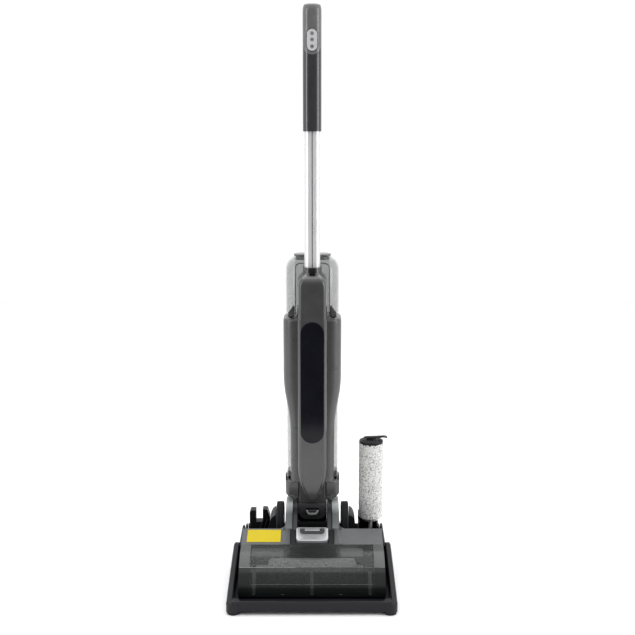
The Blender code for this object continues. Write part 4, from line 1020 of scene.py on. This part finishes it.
def build_panel():
    b, bezel = Box("top_panel"), Box("button_bezel")
    button, sticker = Box("cover_release_button"), Box("blank_sticker")
    front_z = Box("brush_cover").z1 + 0.0001
    rear_y = 0.0
    wall = 0.0029
    slope = (b.z1 - front_z) / (rear_y - b.y0)
    brow = smooth_line([
        (rear_y - 0.01, b.z1 - slope * 0.01), (rear_y, b.z1 - 0.0002), (b.y1 - 0.003, b.z1 - 0.0004),
        (b.y1, b.z1 - 0.0034),
    ], 5)
    outline = [(b.y0, b.z0), (b.y0, front_z)] + brow + [(b.y1, b.z0)]
    hood = slab("top_panel_fine", outline, "X", b.x0, b.x1, "panel_plastic")
    space = [(b.y0 - 0.02, 0.0), (b.y0 - 0.02, front_z - wall - slope * 0.02), (rear_y, b.z1 - wall),
             (b.y1 - wall, b.z1 - wall), (b.y1 - wall, 0.0)]
    cut(hood, slab("space", space, "X", -0.1337, 0.1337))
    cut(hood, band("window", bezel.hx + GAP, (b.y0 - 0.01, b.y1 + 0.01), (0.06, 0.2)))
    stand_in(soften(hood, 0.0012, 3), "top_panel")
    tray_line = [(b.y0 + 0.0002, bezel.z0), (b.y0 + 0.0002, front_z - 0.003), (rear_y, b.z1 - 0.0034),
                 (bezel.y1, b.z1 - 0.0034), (bezel.y1, bezel.z0)]
    tray = slab("button_bezel_fine", tray_line, "X", bezel.x0, bezel.x1, "charcoal")
    cut(tray, band("pocket", button.hx + 0.0006, (button.y0 - 0.0006, button.y1 + 0.0006), (0.07, 0.2)))
    stand_in(soften(tray, 0.0008, 2), "button_bezel")
    build_release_button(button)
    film_line = [(sticker.y0, sticker.z0), (sticker.y1, sticker.z1 - 0.0004), (sticker.y1, sticker.z1),
                 (sticker.y0, sticker.z0 + 0.0004)]
    film = slab("blank_sticker_fine", film_line, "X", sticker.x0, sticker.x1, "yellow_film")
    stand_in(soften(film, 0.0001, 1), "blank_sticker")


def build_release_button(b):
    """Silver frame round a dark dish, with a pale step at its rear edge."""
    def top_at(y):
        return b.z0 + 0.0085 + (y - b.y0) * (b.z1 - b.z0 - 0.0085) / (b.y1 - b.y0 - 0.003)
    rings = []
    for lift, inset in ((-1, 0.0), (0.0, 0.0), (0.0008, 0.0007), (0.0011, 0.002)):
        outline = rounded(b.hx - inset, b.y0 + inset, b.y1 - inset, 0.0095 - inset, 0.006 - inset, 10)
        ring = []
        for x, y in outline:
            z = b.z0 if lift < 0 else min(b.z1, top_at(y) - 0.0012 + lift)
            ring.append((x, y, z))
        rings.append(ring)
    body = loft("cover_release_button_fine", rings, "silver_plastic")
    dish = rounded(b.hx - 0.007, b.y0 + 0.0185, b.y1 - 0.003, 0.0075, 0.003, 10)
    cut(body, loft("dish", [[(x, y, top_at(y) + e) for x, y in dish] for e in (-0.003, 0.01)]))
    stand_in(soften(body, 0.0006, 3), "cover_release_button")
    inner = rounded(b.hx - 0.0074, b.y0 + 0.0189, b.y1 - 0.0034, 0.0071, 0.0026, 10)
    floor = loft("button_dish_floor",
                 [[(x, y, top_at(y) + e) for x, y in inner] for e in (-0.0029, -0.0024)], "neck_plastic")
    extra(floor, "cover_release_button")
    pad = rounded(b.hx - 0.0165, b.y1 - 0.0105, b.y1 - 0.0036, 0.002, 0.002, 6)
    step = loft("button_step", [[(x, y, top_at(y) + e) for x, y in pad] for e in (-0.0023, -0.0009)],
                "silver_plastic")
    extra(soften(step, 0.0005, 2), "cover_release_button")


def build_duct():
    b = Box("suction_duct")
    outline = [
        (b.y1, b.z0), (b.y1 - 0.0055, b.z0), (b.y1 - 0.007, b.z0 + 0.008), (b.y1 - 0.0135, b.z0 + 0.0175),
        (b.y0, b.z0 + 0.0248), (b.y0, b.z0 + 0.0288), (b.y1 - 0.0095, b.z0 + 0.0318), (b.y1, b.z1 - 0.0004),
    ]
    duct = slab("suction_duct_fine", outline, "X", b.x0, b.x1, "charcoal")
    for k in range(4):
        y = b.y0 + 0.0038 + k * 0.005
        cut(duct, block("step", (b.x0 + 0.004, y, b.z1 - 0.007 + k * 0.0009),
                        (b.x1 - 0.004, y + 0.0024, b.z1 + 0.01)))
    stand_in(soften(duct, 0.0005, 2), "suction_duct")
    plate, bay = Box("end_plate_right"), Box("roller_end_cap")
    for side, name, reach in ((-1, "left", plate.x0 - 0.0008), (1, "right", bay.x0 - 0.0012)):
        x = sorted((side * (b.x1 + 0.0006), side * reach))
        shelf_line = [
            (b.y1 + 0.0003, b.z1 - 0.011), (b.y1 + 0.0003, b.z1 - 0.0022), (b.y1 - 0.01, b.z1 - 0.0046),
            (b.y0 + 0.001, b.z1 - 0.009),
            (b.y0 + 0.006, b.z1 - 0.011), (b.y1 - 0.008, b.z1 - 0.012),
        ]
        shelf = slab(f"bay_shelf_{name}", shelf_line, "X", *x, "chassis")
        extra(soften(shelf, 0.0008, 2), "suction_duct")
    ring = []
    for radius, turn in ((0.0064, (130, 410)), (0.0042, (410, 130))):
        ring += arc((bay.cx, bay.y1 - 0.011), radius, *turn, 20)
    clasp = slab("roller_bay_clasp", ring, "Z", bay.z1 + TINY, bay.z1 + 0.0012, "chassis")
    extra(soften(clasp, 0.0003, 2), "suction_duct")


def fuzzy_roller(name, start, end, centre, radius, inner, axis, around=150, along=300, depth=0.0016):
    """A sleeve of looped pile: a fine grid pushed in and out by layered noise."""
    bm = bmesh.new()
    rows = []
    soft = 0.004
    for i in range(along + 1):
        t = start + (end - start) * i / along
        edge = min(t - start, end - t)
        droop = 0.0 if edge > soft else (1 - edge / soft) ** 2 * 0.0045
        row = []
        for k in range(around):
            a = 2 * pi * k / around
            u, v = cos(a), sin(a)
            seat = Vector((u * radius, v * radius, t))
            fluff = sum(noise.noise(seat * scale) * share for scale, share in PILE_NOISE)
            r = min(radius, radius - depth * (0.55 - 0.9 * fluff) - droop)
            across = (centre[0] + r * u, centre[1] + r * v)
            place = (t, *across) if axis == "X" else (*across, t)
            row.append(bm.verts.new(place))
        rows.append(row)
    for t, anchor in ((start, 0), (end, -1)):
        row = []
        for k in range(around):
            a = 2 * pi * k / around
            u, v = inner * cos(a), inner * sin(a)
            place = (t, centre[0] + u, centre[1] + v) if axis == "X" else (centre[0] + u, centre[1] + v, t)
            row.append(bm.verts.new(place))
        rows.insert(0, row) if anchor == 0 else rows.append(row)
    total = len(rows)
    for i in range(total):
        here, after = rows[i], rows[(i + 1) % total]
        for k in range(around):
            j = (k + 1) % around
            bm.faces.new((here[k], here[j], after[j], after[k]))
    return add_mesh(name, bm, "white_pile", 180)


def build_rollers():
    pile = Box("roller_pile")
    centre = (pile.cy, pile.cz)
    inner = Box("spare_roller_core").hx + GAP
    obj = fuzzy_roller("roller_pile_fine", pile.x0, pile.x1, centre, pile.hz, inner, "X")
    stand_in(obj, "roller_pile")
    refine("roller_core", "pale_plastic", 0.0004)
    spare, cap = Box("spare_roller_pile"), Box("spare_roller_cap")
    centre = (spare.cx, spare.cy)
    obj = fuzzy_roller("spare_roller_pile_fine", spare.z0, spare.z1, centre, spare.hx, inner, "Z")
    stand_in(obj, "spare_roller_pile")
    refine("spare_roller_core", "pale_plastic", 0.0005)
    low = cap.z0
    knob = turned("spare_roller_cap_fine", [
        (0, low), (0.02, low), (0.02, low + 0.002), (0.0188, low + 0.003), (0.0165, low + 0.0034),
        (0.0158, low + 0.0026), (0.01, low + 0.0026), (0.009, low + 0.0056), (0, low + 0.0056),
    ], centre, "Z", "black_plastic", 64)
    stand_in(knob, "spare_roller_cap")
    skirt = turned("spare_roller_skirt", [
        (0.012, low - 0.0075), (0.0236, low - 0.0075), (0.0245, low - 0.006), (0.0246, low - 0.001),
        (0.024, low + 0.0006),
        (0.0222, low + 0.0014), (0.012, low + 0.0014),
    ], centre, "Z", "black_plastic", 64)
    extra(skirt, "spare_roller_cap")
    build_pull_tab(cap, centre)


def build_pull_tab(cap, centre):
    """Bent strap on the spare roller's cap, with a finger hole and a turned-up end."""
    reach, thick = cap.x1 - centre[0], 0.002
    low, top = cap.z0 + 0.0058, cap.z1
    line = smooth_line([(-0.014, low), (-0.006, low + 0.0002), (0.008, low + 0.0006),
                        (0.02, top - thick - 0.0004),
                        (reach - 0.006, top - thick), (reach, top - thick - 0.0014)], 5)
    rings = []
    for u, z in line:
        half = 0.0058 if u > -0.01 else 0.004
        ring = [(centre[0] + u, centre[1] - half, z), (centre[0] + u, centre[1] + half, z),
                (centre[0] + u, centre[1] + half, z + thick), (centre[0] + u, centre[1] - half, z + thick)]
        rings.append(ring)
    tab = loft("spare_roller_tab", rings, "black_plastic")
    hole = stadium(0.0026, -0.0065, 0.0065, 12)
    spot = centre[0] + reach - 0.012
    cut(tab, slab("hole", [(spot + v, centre[1] + u) for u, v in hole], "Z", low - 0.01, top + 0.01))
    extra(soften(tab, 0.0005, 2), "spare_roller_cap")


# ================================================================ dock
def build_dock():
    refine("dock_tray", "dock_plastic", 0.0008, 3)
    for foot in ("front_left", "front_right", "rear_left", "rear_right"):
        refine(f"dock_foot_{foot}", "rubber", 0.0005)
    refine("charging_block", "dock_plastic", 0.0008)
    refine("roller_holder", "black_plastic", 0.0008)
    tray, holder = Box("dock_tray"), Box("tool_holder")
    refine("tool_holder", "black_plastic", 0.001, 3)
    for k in range(3):
        start = holder.x0 + 0.015 + k * 0.0085
        outline = [(start, holder.z0), (start + 0.0022, holder.z0), (start + 0.015, holder.z0 + 0.04),
                   (start + 0.0128, holder.z0 + 0.04)]
        rib = slab(f"tool_holder_rib_{k + 1}", outline, "Y", holder.y0 - 0.004, holder.y0 - GAP,
                   "dock_plastic")
        extra(soften(rib, 0.0004, 2), "tool_holder")
    for side, name in ((-1, "left"), (1, "right")):
        x, y = side * (tray.x1 - 0.0135), tray.y0 + 0.0135
        screw = turned(f"dock_corner_plug_{name}",
                       [(0, 0.0229), (0.0052, 0.0229), (0.0052, 0.0234), (0.0046, 0.0238), (0, 0.0236)],
                       (x, y), "Z", "dock_plastic", 40)
        extra(screw, "dock_tray")
        for k in range(7):
            at = -0.12 + k * 0.03
            width = sorted((side * 0.117, side * 0.133))
            rib = block(f"dock_floor_rib_{name}_{k + 1}", (width[0], at, 0.0101),
                        (width[1], at + 0.002, 0.0114), "dock_plastic")
            extra(rib, "dock_tray")


def build_hidden():
    """Inner pieces keep their CAD shape."""
    finishes = {
        "head_base": "black_plastic", "end_plate_left": "black_plastic", "end_plate_right": "black_plastic",
        "drive_belt": "rubber", "brush_motor": "steel", "motor_pulley": "black_plastic",
        "roller_end_cap": "black_plastic", "scraper_blade": "steel", "squeegee": "rubber",
        "wheel_axle": "steel", "battery_pack": "battery_wrap", "main_board": "green_board",
        "suction_motor": "black_plastic",
    }
    for node, finish in finishes.items():
        refine(node, finish, 0.0005)


# ================================================================ camera, floor and light
def build_stage():
    camera = bpy.data.objects.new("camera", bpy.data.cameras.new("camera"))
    bpy.context.scene.collection.objects.link(camera)
    camera.location = (0.0103, -1.873, 0.842)
    camera.rotation_euler = (radians(80), 0, 0)
    camera.data.sensor_width = 36.0
    camera.data.lens = 57.03
    bpy.context.scene.camera = camera

    bm = bmesh.new()
    for x, y in ((-3.4, -0.9), (3.4, -0.9), (3.4, 3.4), (-3.4, 3.4)):
        bm.verts.new((x, y, 0.0))
    bm.faces.new(bm.verts)
    floor_mesh = bpy.data.meshes.new("floor")
    bm.to_mesh(floor_mesh)
    bm.free()
    floor = bpy.data.objects.new("floor", floor_mesh)
    floor.location = (0, 0, -0.0002)
    bpy.context.scene.collection.objects.link(floor)
    floor_mesh.materials.append(make("floor_white", (0.955, 0.955, 0.955), 0.9, mottle=0.003,
                                     Specular_IOR_Level=0.0))

    world = bpy.data.worlds.new("world")
    bpy.context.scene.world = world
    world.use_nodes = True
    tree = world.node_tree
    background = tree.nodes["Background"]
    background.inputs["Color"].default_value = (1.0, 1.0, 1.0, 1)
    facing = add(tree, "ShaderNodeTexCoord")
    split = add(tree, "ShaderNodeSeparateXYZ")
    panels = add(tree, "ShaderNodeMapRange", interpolation_type="SMOOTHSTEP")
    for key, value in (("From Min", -0.97), ("From Max", -0.55), ("To Min", 0.1), ("To Max", 1.0)):
        panels.inputs[key].default_value = value
    tree.links.new(facing.outputs["Generated"], split.inputs["Vector"])
    tree.links.new(split.outputs["Y"], panels.inputs["Value"])
    tree.links.new(panels.outputs["Result"], background.inputs["Strength"])
    seen = tree.nodes.new("ShaderNodeBackground")
    seen.inputs["Color"].default_value = (1.0, 1.0, 1.0, 1)
    seen.inputs["Strength"].default_value = 1.05
    path = tree.nodes.new("ShaderNodeLightPath")
    mix = tree.nodes.new("ShaderNodeMixShader")
    tree.links.new(path.outputs["Is Camera Ray"], mix.inputs["Fac"])
    tree.links.new(background.outputs["Background"], mix.inputs[1])
    tree.links.new(seen.outputs["Background"], mix.inputs[2])
    tree.links.new(mix.outputs["Shader"], tree.nodes["World Output"].inputs["Surface"])

    add_light("key_left", (-1.7, -0.9, 1.1), (0.5, 1.8), 12)
    add_light("key_right", (1.8, -0.7, 1.1), (0.5, 1.8), 16)
    add_light("top", (0.0, 0.6, 2.8), (3.0, 3.0), 40)
    bpy.context.scene.view_settings.view_transform = "Standard"


def add_light(name, place, size, power):
    lamp = bpy.data.lights.new(name, "AREA")
    lamp.shape = "RECTANGLE"
    lamp.size, lamp.size_y = size
    lamp.energy = power
    obj = bpy.data.objects.new(name, lamp)
    obj.location = place
    obj.rotation_euler = (Vector((0, 0, 0.45)) - Vector(place)).to_track_quat("-Z", "Y").to_euler()
    bpy.context.scene.collection.objects.link(obj)


build_handle()
build_pole()
build_spine()
build_cradle()
build_collar()
build_socket()
build_latches()
build_clean_tank()
build_dirty_tank()
build_neck()
build_arms()
build_wheels()
build_cover()
build_panel()
build_duct()
build_rollers()
build_dock()
build_hidden()
build_stage()
